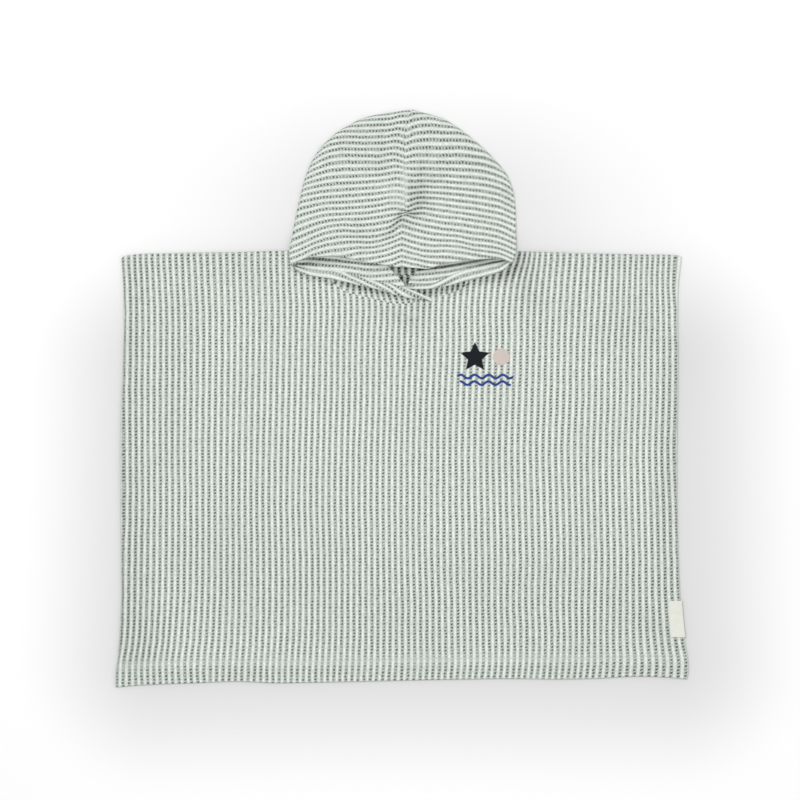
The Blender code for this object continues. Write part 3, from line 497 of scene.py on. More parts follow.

# ---------------------------------------------------------------- halves of the hood
# hand is -1 for the half at -X, and index its column in LIP_RISE and BAND_SAG.  The roll of the band
# rises over the share roll_start of the way along it, and on the right over roll_x as well: the left
# half's roll_x lies beyond it.
# each half's shade and rub tables are the painted shade and the painted highlight of its inner face
LEFT_HALF = SimpleNamespace(
    hand=-1, index=1, crosses_over=True, sections=LEFT_SECTIONS, band=LEFT_BAND,
    roll_start=(0.2, 0.42), roll_x=(-200.0, -190.0),
    crown_columns=LEFT_CROWN_COLUMNS, crown_stripes=LEFT_CROWN_STRIPES,
    face_columns=LEFT_FACE_COLUMNS, face_stripes=LEFT_FACE_STRIPES,
    shade=LEFT_INNER_SHADE, rub=LEFT_INNER_HIGHLIGHT)
RIGHT_HALF = SimpleNamespace(
    hand=1, index=2, crosses_over=False, sections=RIGHT_SECTIONS, band=RIGHT_BAND,
    roll_start=(0.02, 0.14), roll_x=(6.0, 20.0),
    crown_columns=RIGHT_CROWN_COLUMNS, crown_stripes=RIGHT_CROWN_STRIPES,
    face_columns=RIGHT_FACE_COLUMNS, face_stripes=RIGHT_FACE_STRIPES,
    shade=RIGHT_INNER_SHADE, rub=RIGHT_INNER_HIGHLIGHT)

# ---------------------------------------------------------------- rows and columns of points
SHARP_ANGLE = 70.0         # degrees from which an edge looks sharp
EDGE_ROUNDS = 6            # steps towards the place where a column meets an edge
# columns of a side margin, as shares of its width
MARGIN_SHARES = (0.12, 0.3, 0.5, 0.7, 0.85, 0.95, 1.0)
# rows of the front: shares of the facing, mm from its edge, rows of the field and mm that it stays
# away, mm from the line of stitches, and shares of the hem
FACING_SHARES = (0.0, 0.04, 0.12, 0.25, 0.42, 0.6, 0.78, 0.92)
FACING_STEPS = (0.2, -0.3, -1.2)
FIELD_ROWS = 74
FIELD_MARGIN = dict(below_edge=2.4, above_stitches=2.2)
STITCH_STEPS = (1.0, 0.3, -0.3, -1.0)
HEM_SHARES = (0.0, 0.16, 0.34, 0.52, 0.7, 0.84, 0.92, 0.96, 0.985, 1.0)
# rows of the back, as shares of the way down
BACK_SHARES = np.r_[0.0, 0.0008, 0.002, 0.004, np.linspace(0.008, 0.11, 22),
                    np.linspace(0.12, 0.99, 40), 0.996, 0.998, 0.9992, 1.0]
# rows of the hood: mm from the face edge as far as the crease, and a number of steady rows from there
EDGE_ROWS = (0.0, 0.15, 0.4, 0.8, 1.3, 1.9, 2.6, 3.4, 4.2, 5.0, 5.8, 6.6, 7.4, 8.1, 8.7)
STEADY_ROWS = 204
# share of the way from seam to silhouette, and from there to the lower layer's end
CROWN_SHARES = np.r_[np.array((0.0, 0.2, 0.5, 0.9, 1.5, 2.3, 3.3, 4.6, 6.2, 8.0, 10.0)) / 116.0,
                     np.linspace(12.0 / 116.0, 1.0, 46)][None]
LOWER_SHARES = np.r_[np.linspace(0.0, 1.0 - 7.0 / 120.0, 54),
                     1.0 - np.array((5.0, 3.4, 2.2, 1.4, 0.8, 0.4, 0.15, 0.0)) / 120.0][None]

# ---------------------------------------------------------------- embroidery
# satin stitch sinks partly into the ribs: level over even cloth, share of the ribs that still shows,
# lift, level of its foot, and height of a pad's crown
SATIN = dict(level=FRONT_LEVEL + WALL + 0.55 * RIB_HEIGHT, sinks=0.45, lift=0.1,
             foot=FRONT_LEVEL + WALL - 0.2, height=0.9)
SATIN_RINGS = ((1.0, 0.0), (0.975, 0.45), (0.93, 0.72), (0.84, 0.9), (0.65, 1.0), (0.4, 1.0),
               (0.15, 1.0))            # share of the outline's size, share of the height
STAR = dict(x=78.0, y=44.0, outer=16.5, inner=8.0)
STAR_SHARES = (0.0, 0.33, 0.67)        # points along each side
DISC = dict(x=106.0, y=44.5, radius=9.0)
DISC_POINTS = 48
THREAD_ANGLE = dict(star=0.5, disc=-0.3)
# a wave's ends narrow over end (in widths) to the share tip; flat is how far its sides come down
WAVE = dict(swing=1.9, length=15.0, width=2.6, height=0.8, end=0.6, tip=0.02 ** 0.5, flat=0.98,
            points=120)
WAVE_SHARES = np.array((-1.0, -0.9, -0.6, -0.2, 0.2, 0.6, 0.9, 1.0))   # of its half width
# name, x of its start and of its end, y, phase
WAVES = (("motif_wave_1", 59.0, 119.0, 23.5, 0.0), ("motif_wave_2", 61.5, 116.5, 16.5, 1.2))
# one lockstitch: share of its length, girth, and how far it bows up
CAPSULE = ((0.0, 0.25, 0.0), (0.12, 0.8, 0.55), (0.5, 1.0, 1.0), (0.88, 0.8, 0.55), (1.0, 0.25, 0.0))
CAPSULE_CORNERS = 6

# ---------------------------------------------------------------- setting, in metres
# the picture's centre and width on the ground; lens and sensor in mm
FRAME = dict(centre=(-0.00214, -0.0016), width=0.856, lens=250.0, sensor=36.0)
FLOOR = dict(half_width=4000.0, level=-0.1)    # in mm
FLOOR_GRAIN = dict(scale=60.0, share=0.1, tone=0.99)
FLOOR_COLOUR = (0.885, 0.885, 0.885, 1.0)
SKY_STRENGTH = 0.58
# name, place, size, power in watts
LIGHTS = (
    ("key", (-0.18, 0.28, 2.66), 0.8, 40.0),
    ("fill", (1.2, -0.6, 1.9), 1.4, 4.0),
)
# painted shadow: a soft darkening of the floor round a block: its centre, half size and rounding, the
# reach of the painted shadow, and how much darker the floor is beside the block; it starts inside the
# block by the start value just below
PAINTED_SHADOW_START = 0.02
PAINTED_FLOOR_SHADOWS = (
    dict(centre=(0.013, -0.122), half=(0.300, 0.180), rounding=0.03, reach=0.140, depth=0.26),
    dict(centre=(0.016, 0.165), half=(0.098, 0.070), rounding=0.04, reach=0.120, depth=0.08),
    dict(centre=(0.020, 0.130), half=(0.150, 0.060), rounding=0.05, reach=0.220, depth=0.135),
)


# ---------------------------------------------------------------- colours and weave
def linear(*levels):
    """Linear colour of sRGB levels from 0 to 255."""
    share = np.array(levels) / 255.0
    curve = np.where(share <= 0.04045, share / 12.92, ((share + 0.055) / 1.055) ** 2.4)
    return (*(float(level) for level in curve), 1.0)


WHITE_COTTON = linear(243, 249, 243)
WHITE_SHADE = linear(190, 197, 190)
GREY_COTTON = linear(166, 174, 166)
GREY_LIGHT = linear(200, 207, 200)
GREY_KNOT = linear(77, 85, 77)
SHADED_COTTON = linear(24, 28, 26)
TAPE_CREAM = linear(234, 236, 227)
TAPE_SHADE = linear(211, 212, 200)
# colour, share of it in the shade between strands, strands per mm
THREADS = dict(
    thread_white=(linear(235, 238, 232), 0.85, 1.2),
    thread_navy=(linear(6, 17, 28), 0.5, 1.6),
    thread_blue=(linear(50, 80, 160), 0.6, 1.6),
    thread_pink=(linear(228, 214, 206), 0.8, 1.6),
)
STRIPE = dict(inner=0.15, outer=0.37)          # half width of the grey part, in stripe pitches
# the knots: size, soft edge, slant and stray places, and how faint some of them are
KNOT = dict(half_width=0.19, half_length=0.29, edge=(0.55, 1.25), slant=-0.6, drift=0.2,
            faintest=0.35, faint_share=0.55, jitter=0.2)
BAR = dict(along=(0.28, 0.44), across=(0.07, 0.2))     # paler cloth between two knots
WANDER = dict(scale=55.0, across=0.16, along=0.6)      # how the yarns stray from their rows
# fuzz of loose fibres: its scale, how far it frays the stripes, and its share of the ribs' shade
FUZZ = dict(scale=700.0, fray=0.5, soft=(0.3, 0.7), share=0.75)
PATCHES = dict(scale=14.0, soft=(0.35, 0.75), share=0.10)      # greyer places of the cloth
# the weave's small relief: share of each part of it, and its depth in metres, as for the others
WEAVE_RELIEF = dict(thread=0.10, level=0.6, grey=-0.2, knot=-0.5, fuzz=0.35, depth=0.0004)
# satin stitch and tape: scale of the noise that moves their tone, and how their threads show in it
SATIN_WEAVE = dict(jitter_scale=300.0, jitter=2.5, scale=90.0, share=0.5, depth=0.00025)
TAPE_WEAVE = dict(warp=0.45, weft=0.6, scale=120.0, share=0.4, depth=0.00012)


# ================================================================ curves and tables
def smooth_step(start, end, value):
    """0 before start, 1 after end, and a soft S between them."""
    share = np.clip((np.asarray(value, float) - start) / (end - start), 0.0, 1.0)
    return share * share * (3.0 - 2.0 * share)


def mix(first, second, share):
    """First where share is 0, second where it is 1."""
    return first + (second - first) * share


def bump(away, half_width):
    """1 at no distance, and softly down to 0 past the half width."""
    return np.exp(-(away / half_width) ** 2)


def rounded(distance, radius):
    """0 at an edge and 1 from radius on, as a quarter circle."""
    share = np.clip(distance / radius, 0.0, 1.0)
    return np.sqrt(1.0 - (1.0 - share) ** 2)


def smooth_curve(knots, values, at):
    """Cubic curve through the knots, with slopes taken from their neighbours."""
    knots = np.asarray(knots, float)
    values = np.asarray(values, float)
    steps = np.diff(knots)
    secants = np.diff(values) / steps
    inner = (secants[:-1] * steps[1:] + secants[1:] * steps[:-1]) / (steps[:-1] + steps[1:])
    slopes = np.concatenate((secants[:1], inner, secants[-1:]))
    at = np.clip(np.asarray(at, float), knots[0], knots[-1])
    index = np.clip(np.searchsorted(knots, at, side="right") - 1, 0, len(steps) - 1)
    step = steps[index]
    share = (at - knots[index]) / step
    rest = 1.0 - share
    return ((1.0 + 2.0 * share) * rest ** 2 * values[index]
            + share * rest ** 2 * step * slopes[index]
            + share ** 2 * (3.0 - 2.0 * share) * values[index + 1]
            - share ** 2 * rest * step * slopes[index + 1])


def column(table, index):
    return [row[index] for row in table]


def look_up(table, at, index=1):
    """Smooth curve through one column of a table, over its first column."""
    return smooth_curve(column(table, 0), column(table, index), at)


def curve_weights(knots, at):
    """Weights that turn values at the knots into values at other places, knots last."""
    return np.stack([smooth_curve(knots, row, at) for row in np.eye(len(knots))], axis=-1)


def stripe_at(table, columns, x, y):
    """Stripe number at points, from a table with the y of each stripe at the x of each column."""
    numbers = column(table, 0)
    levels = np.array([row[1:] for row in table])
    fine = np.arange(numbers[0], numbers[-1] + 0.01, STRIPE_STEP)
    across = curve_weights(columns, x.ravel())
    courses = curve_weights(numbers, fine) @ levels @ across.T
    above = np.clip((courses < y.ravel()).sum(axis=0), 1, len(fine) - 1)
    spot = np.arange(x.size)
    low = courses[above - 1, spot]
    high = courses[above, spot]
    share = (y.ravel() - low) / np.maximum(high - low, LEAST_PITCH)
    return (fine[above - 1] + STRIPE_STEP * share).reshape(x.shape)


def rib_shape(stripe):
    """0 in the middle of a dark stripe, 1 on top of the white rib beside it."""
    away = 2.0 * np.abs(stripe - np.round(stripe))
    return rounded(away - VALLEY_SHARE, 1.0 - VALLEY_SHARE)


def weave_map(stripe, y):
    """Place in the weave: stripes across, and knots along them."""
    return np.dstack((stripe, y / DOT_PITCH))


def near_line(x, y, start, end):
    """Share of the way along a line, and distance from it."""
    along = np.subtract(end, start)
    share = ((x - start[0]) * along[0] + (y - start[1]) * along[1]) / along.dot(along)
    share = np.clip(share, 0.0, 1.0)
    return share, np.hypot(x - start[0] - share * along[0], y - start[1] - share * along[1])


def fold_height(folds, x, y):
    """Sum of soft ridges and troughs, each a rounded bump along a short line."""
    total = np.zeros(np.broadcast(x, y).shape)
    for start_x, start_y, end_x, end_y, half_width, height in folds:
        away = near_line(x, y, (start_x, start_y), (end_x, end_y))[1]
        total = total + height * bump(away, half_width)
    return total


def strip_depth(strips, x, y):
    """Depth at points of the deepest of the strips."""
    deepest = np.zeros(np.broadcast(x, y).shape)
    for strip in strips:
        for start, end in zip(strip, strip[1:]):
            share, away = near_line(x, y, start[:2], end[:2])
            depth = mix(start[3], end[3], share) * bump(away, mix(start[2], end[2], share))
            deepest = np.maximum(deepest, depth)
    return deepest


def light_map(shade, rub, x, y):
    """Share of the light lost (painted shade), and the strength of the painted highlight, at points."""
    return np.dstack((strip_depth(shade, x, y), strip_depth(rub, x, y)))


def run_along(points):
    """Distance along each row of a grid of points, from its first column."""
    steps = np.linalg.norm(np.diff(points, axis=1), axis=2)
    return np.concatenate((np.zeros((points.shape[0], 1)), np.cumsum(steps, axis=1)), axis=1)


# ================================================================ meshes
def link(name, data):
    """A new object in the scene."""
    thing = bpy.data.objects.new(name, data)
    bpy.context.scene.collection.objects.link(thing)
    return thing


def add_mesh(name, points, faces, material, **maps):
    """A smooth mesh; each UV map has a place for every corner of every face, or is left plain."""
    mesh = bpy.data.meshes.new(name)
    mesh.from_pydata((points * MM).tolist(), [], faces)
    for title, places in maps.items():
        layer = mesh.uv_layers.new(name=title)
        if places is not None:
            layer.data.foreach_set("uv", places.astype(np.float32).ravel())
    mesh.shade_smooth()
    mesh.materials.append(material)
    return link(name, mesh)


def chain_shares(points):
    """Position of each point along its chain, from 0 to 1."""
    lengths = np.linalg.norm(np.diff(points, axis=0), axis=1)
    run = np.concatenate(([0.0], np.cumsum(lengths)))
    return run / run[-1]


def zip_chains(points, first, second):
    """Triangles that join two chains of vertex numbers, which may differ in their count."""
    first_shares = chain_shares(points[first])
    second_shares = chain_shares(points[second])
    faces = []
    i = 0
    j = 0
    while i < len(first) - 1 or j < len(second) - 1:
        take_first = j == len(second) - 1 or (
            i < len(first) - 1 and first_shares[i + 1] <= second_shares[j + 1])
        if take_first:
            faces.append((first[i], first[i + 1], second[j]))
            i += 1
        else:
            faces.append((first[i], second[j + 1], second[j]))
            j += 1
    return faces


def at_corners(values):
    """Values at the four corners of each quad of a grid."""
    return np.stack((values[:-1, :-1], values[:-1, 1:], values[1:, 1:], values[1:, :-1]), axis=2)


def signed_volume(points, triangles):
    """Volume that closed faces enclose, above 0 when they face out."""
    first, second, third = (points[triangles[:, k]] for k in range(3))
    return np.einsum("ij,ij->", first, np.cross(second, third)) / 6.0


def add_cloth(name, upper, under, upper_uv, under_uv, material, patch=None, shade=(None, None)):
    """A closed wall between two grids whose borders run side by side.

    patch is a mask over the upper grid's quads and the UV grid that those quads take.
    shade is the painted shade (light lost) and the painted highlight at the points of the two grids.
    """
    points = np.concatenate((upper.reshape(-1, 3), under.reshape(-1, 3)))
    top = np.arange(upper[:, :, 0].size).reshape(upper.shape[:2])
    low = np.arange(under[:, :, 0].size).reshape(under.shape[:2]) + top.size
    quads = np.concatenate((at_corners(top).reshape(-1, 4), at_corners(low).reshape(-1, 4)[:, ::-1]))
    borders = ((top[0, ::-1], low[0, ::-1]), (top[-1], low[-1]),
               (top[:, 0], low[:, 0]), (top[::-1, -1], low[::-1, -1]))
    triangles = np.concatenate([zip_chains(points, *pair) for pair in borders])

    corner_uv = at_corners(upper_uv)
    if patch is not None:
        mask, patch_uv = patch
        corner_uv[mask] = at_corners(patch_uv)[mask]
    vertex_uv = np.concatenate((upper_uv.reshape(-1, 2), under_uv.reshape(-1, 2)))
    weave = np.concatenate((corner_uv.reshape(-1, 2),
                            at_corners(under_uv)[:, :, ::-1].reshape(-1, 2),
                            vertex_uv[triangles.ravel()]))
    lost = [np.zeros((side[:, :, 0].size, 2)) if given is None else given.reshape(-1, 2)
            for side, given in zip((upper, under), shade)]
    corners = np.concatenate((quads.ravel(), triangles.ravel()))
    piece = add_mesh(name, points, quads.tolist() + triangles.tolist(), material,
                     weave=weave, shade=np.concatenate(lost)[corners])
    halves = np.concatenate((quads[:, (0, 1, 2)], quads[:, (0, 2, 3)], triangles))
    if signed_volume(points, halves) < 0.0:
        piece.data.flip_normals()
    piece.data.set_sharp_from_angle(angle=np.radians(SHARP_ANGLE))
    return piece


# ================================================================ materials
class Nodes:
    """Short hand for building a material out of nodes."""

    def __init__(self, name, **constants):
        self.material = bpy.data.materials.new(name)
        self.material.use_nodes = True
        self.tree = self.material.node_tree
        self.shader = self.tree.nodes["Principled BSDF"]
        for socket, value in constants.items():
            self.shader.inputs[socket.replace("_", " ")].default_value = value

    def put(self, node, socket, value):
        """Link a socket, or set it where the value is a number or colour."""
        if isinstance(value, bpy.types.NodeSocket):
            self.tree.links.new(value, node.inputs[socket])
        else:
            node.inputs[socket].default_value = value

    def add(self, kind, sockets=(), **settings):
        """Outputs of a new node, once its settings are made and its sockets filled."""
        node = self.tree.nodes.new("ShaderNode" + kind)
        for setting, value in settings.items():
            setattr(node, setting, value)
        for socket, value in sockets:
            self.put(node, socket, value)
        return node.outputs

    def maths(self, operation, *values, clamp=False):
        return self.add("Math", enumerate(values), operation=operation, use_clamp=clamp)[0]

    def minus(self, first, second):
        return self.maths("SUBTRACT", first, second)

    def times(self, first, second):
        return self.maths("MULTIPLY", first, second)

    def times_plus(self, first, second, third):
        return self.maths("MULTIPLY_ADD", first, second, third)

    def wave(self, value):
        """A sine of a number of turns."""
        return self.maths("SINE", self.times(value, 2.0 * np.pi))

    def length(self, first, second):
        return self.maths("SQRT", self.maths(
            "ADD", self.maths("POWER", first, 2.0), self.maths("POWER", second, 2.0)))

    def ramp(self, value, start, end, low=0.0, high=1.0):
        """Soft step of a value: low before start, high after end."""
        return self.add("MapRange", enumerate((value, start, end, low, high)),
                        interpolation_type="SMOOTHSTEP")[0]

    def mix(self, share, first, second):
        return self.add("Mix", ((0, share), (6, first), (7, second)), data_type="RGBA")[2]

    def noise(self, vector, scale, detail=2.0, roughness=0.5):
        return self.add("TexNoise", (("Vector", vector), ("Scale", scale), ("Detail", detail),
                                     ("Roughness", roughness)))[0]

    def chance(self, first, second):
        """A number from 0 to 1 that differs from cell to cell."""
        cell = self.add("CombineXYZ", ((0, first), (1, second)))[0]
        return self.add("TexWhiteNoise", (("Vector", cell),), noise_dimensions="2D")[0]

    def place(self):
        """Position on the object, in metres."""
        return self.add("TexCoord")["Object"]

    def map_place(self, name):
        """The two coordinates of this point in one of the mesh's UV maps."""
        return self.add("SeparateXYZ", ((0, self.add("UVMap", uv_map=name)[0]),))[:2]

    def finish(self, colour, height, depth):
        """Colour, and a bump whose height of 1 is depth in metres."""
        self.put(self.shader, "Base Color", colour)
        relief = self.add("Bump", (("Strength", 1.0), ("Distance", depth), ("Height", height)))[0]
        self.put(self.shader, "Normal", relief)
        return self.material


def add_knots(nodes, stripe, across, v, shade, rub):
    """How dark the knots of a stripe are, and where the paler bars between them lie."""
    slanted = nodes.times_plus(across, KNOT["slant"], v)
    slanted = nodes.times_plus(nodes.chance(stripe, 3.0), KNOT["drift"], slanted)
    knot = nodes.maths("ROUND", slanted)
    along = nodes.minus(slanted, knot)
    sway = nodes.times_plus(nodes.minus(nodes.chance(knot, stripe), 0.5), KNOT["jitter"], across)
    reach = nodes.length(nodes.maths("DIVIDE", sway, KNOT["half_width"]),
                         nodes.maths("DIVIDE", along, KNOT["half_length"]))
    reach = nodes.times(reach, nodes.times_plus(shade, -SHADE_GROWTH, 1.0))
    strength = nodes.ramp(nodes.chance(stripe, knot), 0.0, KNOT["faint_share"],
                           KNOT["faintest"], 1.0)
    # the knots fade where the painted highlight lies
    strength = nodes.times(strength, nodes.maths("SUBTRACT", 1.0, rub, clamp=True))
    dark = nodes.times(nodes.ramp(reach, *KNOT["edge"], 1.0, 0.0), strength)
    bar = nodes.times(nodes.ramp(nodes.maths("ABSOLUTE", along), *BAR["along"]),
                      nodes.ramp(nodes.maths("ABSOLUTE", across), *BAR["across"], 1.0, 0.0))
    return dark, bar


def ribbed_cotton():
    """Corduroy-like weave: white ribs, and grey valleys with slanted dark knots."""
    nodes = Nodes("ribbed_cotton", Roughness=0.92, Sheen_Weight=0.12, Sheen_Roughness=0.5)
    place = nodes.place()
    # the mesh's shade map: painted shade, and the painted highlight where knots and stripes fade
    shade, rub = nodes.map_place("shade")
    wander = nodes.minus(nodes.noise(place, WANDER["scale"], 3.0), 0.5)
    u, v = nodes.map_place("weave")
    u = nodes.times_plus(wander, WANDER["across"], u)
    v = nodes.times_plus(wander, WANDER["along"], v)
    stripe = nodes.maths("ROUND", u)
    across = nodes.minus(u, stripe)
    dark, bar = add_knots(nodes, stripe, across, v, shade, rub)

    fuzz = nodes.noise(place, FUZZ["scale"], 2.0, 0.7)
    fray = nodes.times_plus(nodes.minus(fuzz, 0.5), FUZZ["fray"], nodes.maths("ABSOLUTE", across))
    grey = nodes.times(nodes.ramp(fray, STRIPE["inner"], STRIPE["outer"], 1.0, 0.0),
                       nodes.minus(1.0, nodes.times(nodes.times(rub, rub), HIGHLIGHT_PALING)))
    thread = nodes.wave(nodes.times_plus(across, KNOT["slant"], v))
    light_thread = nodes.times_plus(thread, 0.5, 0.5)
    ply = nodes.times_plus(nodes.ramp(fuzz, *FUZZ["soft"]), FUZZ["share"],
                           nodes.times(light_thread, 1.0 - FUZZ["share"]))
    dark_grey = nodes.times(dark, grey)

    valley = nodes.mix(bar, GREY_COTTON, GREY_LIGHT)
    valley = nodes.mix(dark, valley, GREY_KNOT)
    colour = nodes.mix(grey, nodes.mix(ply, WHITE_COTTON, WHITE_SHADE), valley)
    patchy = nodes.ramp(nodes.noise(place, PATCHES["scale"], 4.0, 0.6), *PATCHES["soft"])
    colour = nodes.mix(nodes.times(patchy, PATCHES["share"]), colour, GREY_COTTON)
    pull = nodes.times_plus(dark_grey, SHADE_SHARE["knot"],
                            nodes.ramp(grey, 0.0, 1.0, SHADE_SHARE["rib"], SHADE_SHARE["stripe"]))
    colour = nodes.mix(nodes.maths("MULTIPLY", shade, pull, clamp=True), colour, SHADED_COTTON)

    height = nodes.times_plus(thread, WEAVE_RELIEF["thread"], WEAVE_RELIEF["level"])
    for part, value in (("grey", grey), ("knot", dark_grey), ("fuzz", fuzz)):
        height = nodes.times_plus(value, WEAVE_RELIEF[part], height)
    return nodes.finish(colour, height, WEAVE_RELIEF["depth"])


def darker(colour, share):
    return (*(level * share for level in colour[:3]), 1.0)


def satin_thread(name):
    """Satin stitches: fine parallel threads of one dyed yarn."""
    colour, shade_share, strands = THREADS[name]
    nodes = Nodes(name, Roughness=0.6, Sheen_Weight=0.04, Specular_IOR_Level=0.3)
    place = nodes.place()
    across = nodes.times(nodes.map_place("weave")[0], 2.0 * np.pi * strands)
    jitter = nodes.noise(place, SATIN_WEAVE["jitter_scale"], 2.0)
    strand = nodes.maths("SINE", nodes.times_plus(jitter, SATIN_WEAVE["jitter"], across))
    light = nodes.times_plus(strand, 0.5, 0.5)
    tone = nodes.times_plus(nodes.noise(place, SATIN_WEAVE["scale"], 3.0), 0.5,
                            nodes.times(light, SATIN_WEAVE["share"]))
    colour = nodes.mix(tone, darker(colour, shade_share), colour)
    return nodes.finish(colour, light, SATIN_WEAVE["depth"])


def woven_tape():
    """Satin tape of the label: fine warp, faint weft, soft sheen."""
    nodes = Nodes("label_tape", Roughness=0.6, Sheen_Weight=0.2)
    u, v = nodes.map_place("weave")
    warp = nodes.maths("SINE", nodes.times(u, 2.0 * np.pi / TAPE_WEAVE["warp"]))
    weft = nodes.maths("SINE", nodes.times(v, 2.0 * np.pi / TAPE_WEAVE["weft"]))
    grain = nodes.times_plus(nodes.times(warp, weft), 0.5, 0.5)
    tone = nodes.times_plus(nodes.noise(nodes.place(), TAPE_WEAVE["scale"], 3.0), 0.5,
                            nodes.times(grain, TAPE_WEAVE["share"]))
    return nodes.finish(nodes.mix(tone, TAPE_CREAM, TAPE_SHADE), grain, TAPE_WEAVE["depth"])


# ================================================================ body panels
def body_x(share, y):
    """x at a share of the body's width, 0 at the left edge and 1 at the right one."""
    return mix(look_up(SIDE_EDGES, y), look_up(SIDE_EDGES, y, 2), share)


def is_between(table, x):
    """Whether x is inside the first column of a table."""
    return (x > table[0][0]) & (x < table[-1][0])


def front_top_y(x):
    """Upper edge of the front: shoulders, and the neckline between them."""
    return np.where(is_between(FRONT_NECKLINE, x), look_up(FRONT_NECKLINE, x),
                    look_up(SHOULDER_EDGE, x))


def back_top_y(x):
    """Upper edge of the back: shoulders, and a neckline that rises gently between them."""
    start = FRONT_NECKLINE[0][0]
    across = np.clip((x - start) / (FRONT_NECKLINE[-1][0] - start), 0.0, 1.0)
    rise = BACK_NECK_RISE * np.sin(np.pi * across) ** 2
    return look_up(SHOULDER_EDGE, x) + rise - BACK_EDGE_INSET


def hem_y(x):
    return look_up(HEM_EDGE, x)


def stitch_y(x):
    return look_up(HEM_LINE, x)


def facing_y(x):
    """Lower edge of the neck facing, which presses through the front and shifts its stripes."""
    close_to_top = front_top_y(x) - FACING_MARGIN
    return np.where(is_between(FACING_EDGE, x), np.minimum(look_up(FACING_EDGE, x), close_to_top),
                    close_to_top)


def body_columns():
    """Stripe number of each column, and the share of the side margin that it stands out by."""
    inside = np.arange(0.0, LAST_STRIPE + 0.001, STRIPE_STEP)
    margin = np.array(MARGIN_SHARES)
    stripe = np.concatenate((np.zeros(len(margin)), inside, np.full(len(margin), LAST_STRIPE)))
    outward = np.concatenate((-margin[::-1], np.zeros(len(inside)), margin))
    return stripe, outward


def course_x(y):
    """x of every tenth stripe at each y, as rows."""
    return curve_weights(column(BODY_STRIPES, 0), y.ravel()) @ [row[1:] for row in BODY_STRIPES]


def body_place(stripe, outward, y, inset=0.0):
    """x and stripe number of the columns at y, all of them arrays of one shape."""
    by_stripe = curve_weights(BODY_COLUMNS, stripe.ravel())
    x = np.einsum("nj,nj->n", course_x(y), by_stripe).reshape(y.shape)
    for pull_x, pull_y, pull, half_width, half_height in STRIPE_PULLS:
        x = x + pull * bump(x - pull_x, half_width) * bump(y - pull_y, half_height)
    left = body_x(0.0, y) + inset
    right = body_x(1.0, y) - inset
    x = np.where(outward < 0.0, x + (left - x) * -outward, x + (right - x) * outward)
    margin = mix(RIGHT_MARGIN["below"], RIGHT_MARGIN["above"],
                 smooth_step(RIGHT_MARGIN["start"], RIGHT_MARGIN["end"], y))
    number = stripe + outward * np.where(outward < 0.0, LEFT_MARGIN, margin)
    return np.clip(x, left, right), number


def edge_rows(stripe, outward, edge, inset=0.0):
    """y where each column meets an edge that is a function of x."""
    y = edge(np.zeros(len(stripe)))
    for _ in range(EDGE_ROUNDS):
        y = edge(body_place(stripe, outward, y, inset)[0])
    return y


def blend_rows(first, second, shares):
    """Rows between two edges, at shares of the way."""
    shares = np.asarray(shares)[:, None]
    return first * (1.0 - shares) + second * shares


def body_grid(stripe, outward, y, top, hem, inset=0.0):
    """x, stripe number and distance from the panel's edge, at rows of y."""
    x, number = body_place(*np.broadcast_arrays(stripe, outward, y), inset)
    sideways = np.minimum(x - body_x(0.0, y), body_x(1.0, y) - x) - inset
    return x, number, np.minimum(sideways, np.minimum(top - y, y - hem))


def front_grid():
    """Points and weave of the front's ribbed side, and the mask and weave of its neck facing."""
    columns = body_columns()
    top, facing, stitch, hem = (
        edge_rows(*columns, edge) for edge in (front_top_y, facing_y, stitch_y, hem_y))
    y = np.concatenate((
        blend_rows(top, facing, FACING_SHARES),
        *(facing[None] + step for step in FACING_STEPS),
        blend_rows(facing - FIELD_MARGIN["below_edge"], stitch + FIELD_MARGIN["above_stitches"],
                   np.linspace(0.0, 1.0, FIELD_ROWS)),
        *(stitch[None] + step for step in STITCH_STEPS),
        blend_rows(stitch - FIELD_MARGIN["below_edge"], hem, HEM_SHARES)))
    x, number, distance = body_grid(*columns, y, top, hem)
    above = y - facing
    in_neck = smooth_step(0.0, FACING_FADE, x - FACING_EDGE[0][0]) * smooth_step(
        0.0, FACING_FADE, FACING_EDGE[-1][0] - x)
    facing_number = number + look_up(FACING_SHIFT, x) + look_up(FACING_SHIFT, x, 2) * above
    shown_number = np.where((above > 0.0) & (in_neck > 0.5), facing_number, number)

    turned = 1.0 - smooth_step(-HEM_GROOVE_WIDTH, HEM_GROOVE_WIDTH, y - stitch)
    rib = rib_shape(shown_number) * (1.0 - HEM_FLATTENS * turned)
    relief = (HEM_RELIEF * turned + FACING_RELIEF * smooth_step(*FACING_STEP, above) * in_neck
              - HEM_GROOVE * bump(y - stitch, HEM_GROOVE_WIDTH)
              - FACING_GROOVE * bump(above - FACING_GROOVE_Y, FACING_GROOVE_WIDTH) * in_neck
              + fold_height(FRONT_FOLDS, x, y))
    rim = mix(THIN_EDGE["front"], 1.0, rounded(distance, EDGE_ROUND))
    z = FRONT_LEVEL + (WALL + RIB_HEIGHT * rib) * rim + relief * rounded(distance, RELIEF_FADE)
    is_facing = (0.5 * (above[1:] + above[:-1])[:, 1:] > 0.0) & (in_neck[1:, 1:] > 0.5)
    facing_weave = weave_map(facing_number, y + 0.5 * DOT_PITCH)
    return np.dstack((x, y, z)), weave_map(number, y), (is_facing, facing_weave)


def build_front(material):
    """The front: ribbed above, and plain below with fewer points."""
    upper, weave, facing = front_grid()
    height, width = upper.shape[:2]
    rows = np.unique(np.r_[0, 1, 4, 8, 9, 12, 16:height - 1:8, height - 8, height - 3, height - 1])
    columns = np.unique(np.r_[0:width:6, 1, 3, width - 4, width - 1])
    kept = np.ix_(rows, columns)
    under = upper[kept].copy()
    under[:, :, 2] = FRONT_LEVEL
    # painted shade in folds and under edges, and a painted highlight along the hem's line
    lost = light_map(FRONT_SHADE, FRONT_HIGHLIGHT, upper[:, :, 0], upper[:, :, 1])
    return add_cloth("front_panel", upper, under, weave, weave[kept], material,
                     patch=facing, shade=(lost, None))


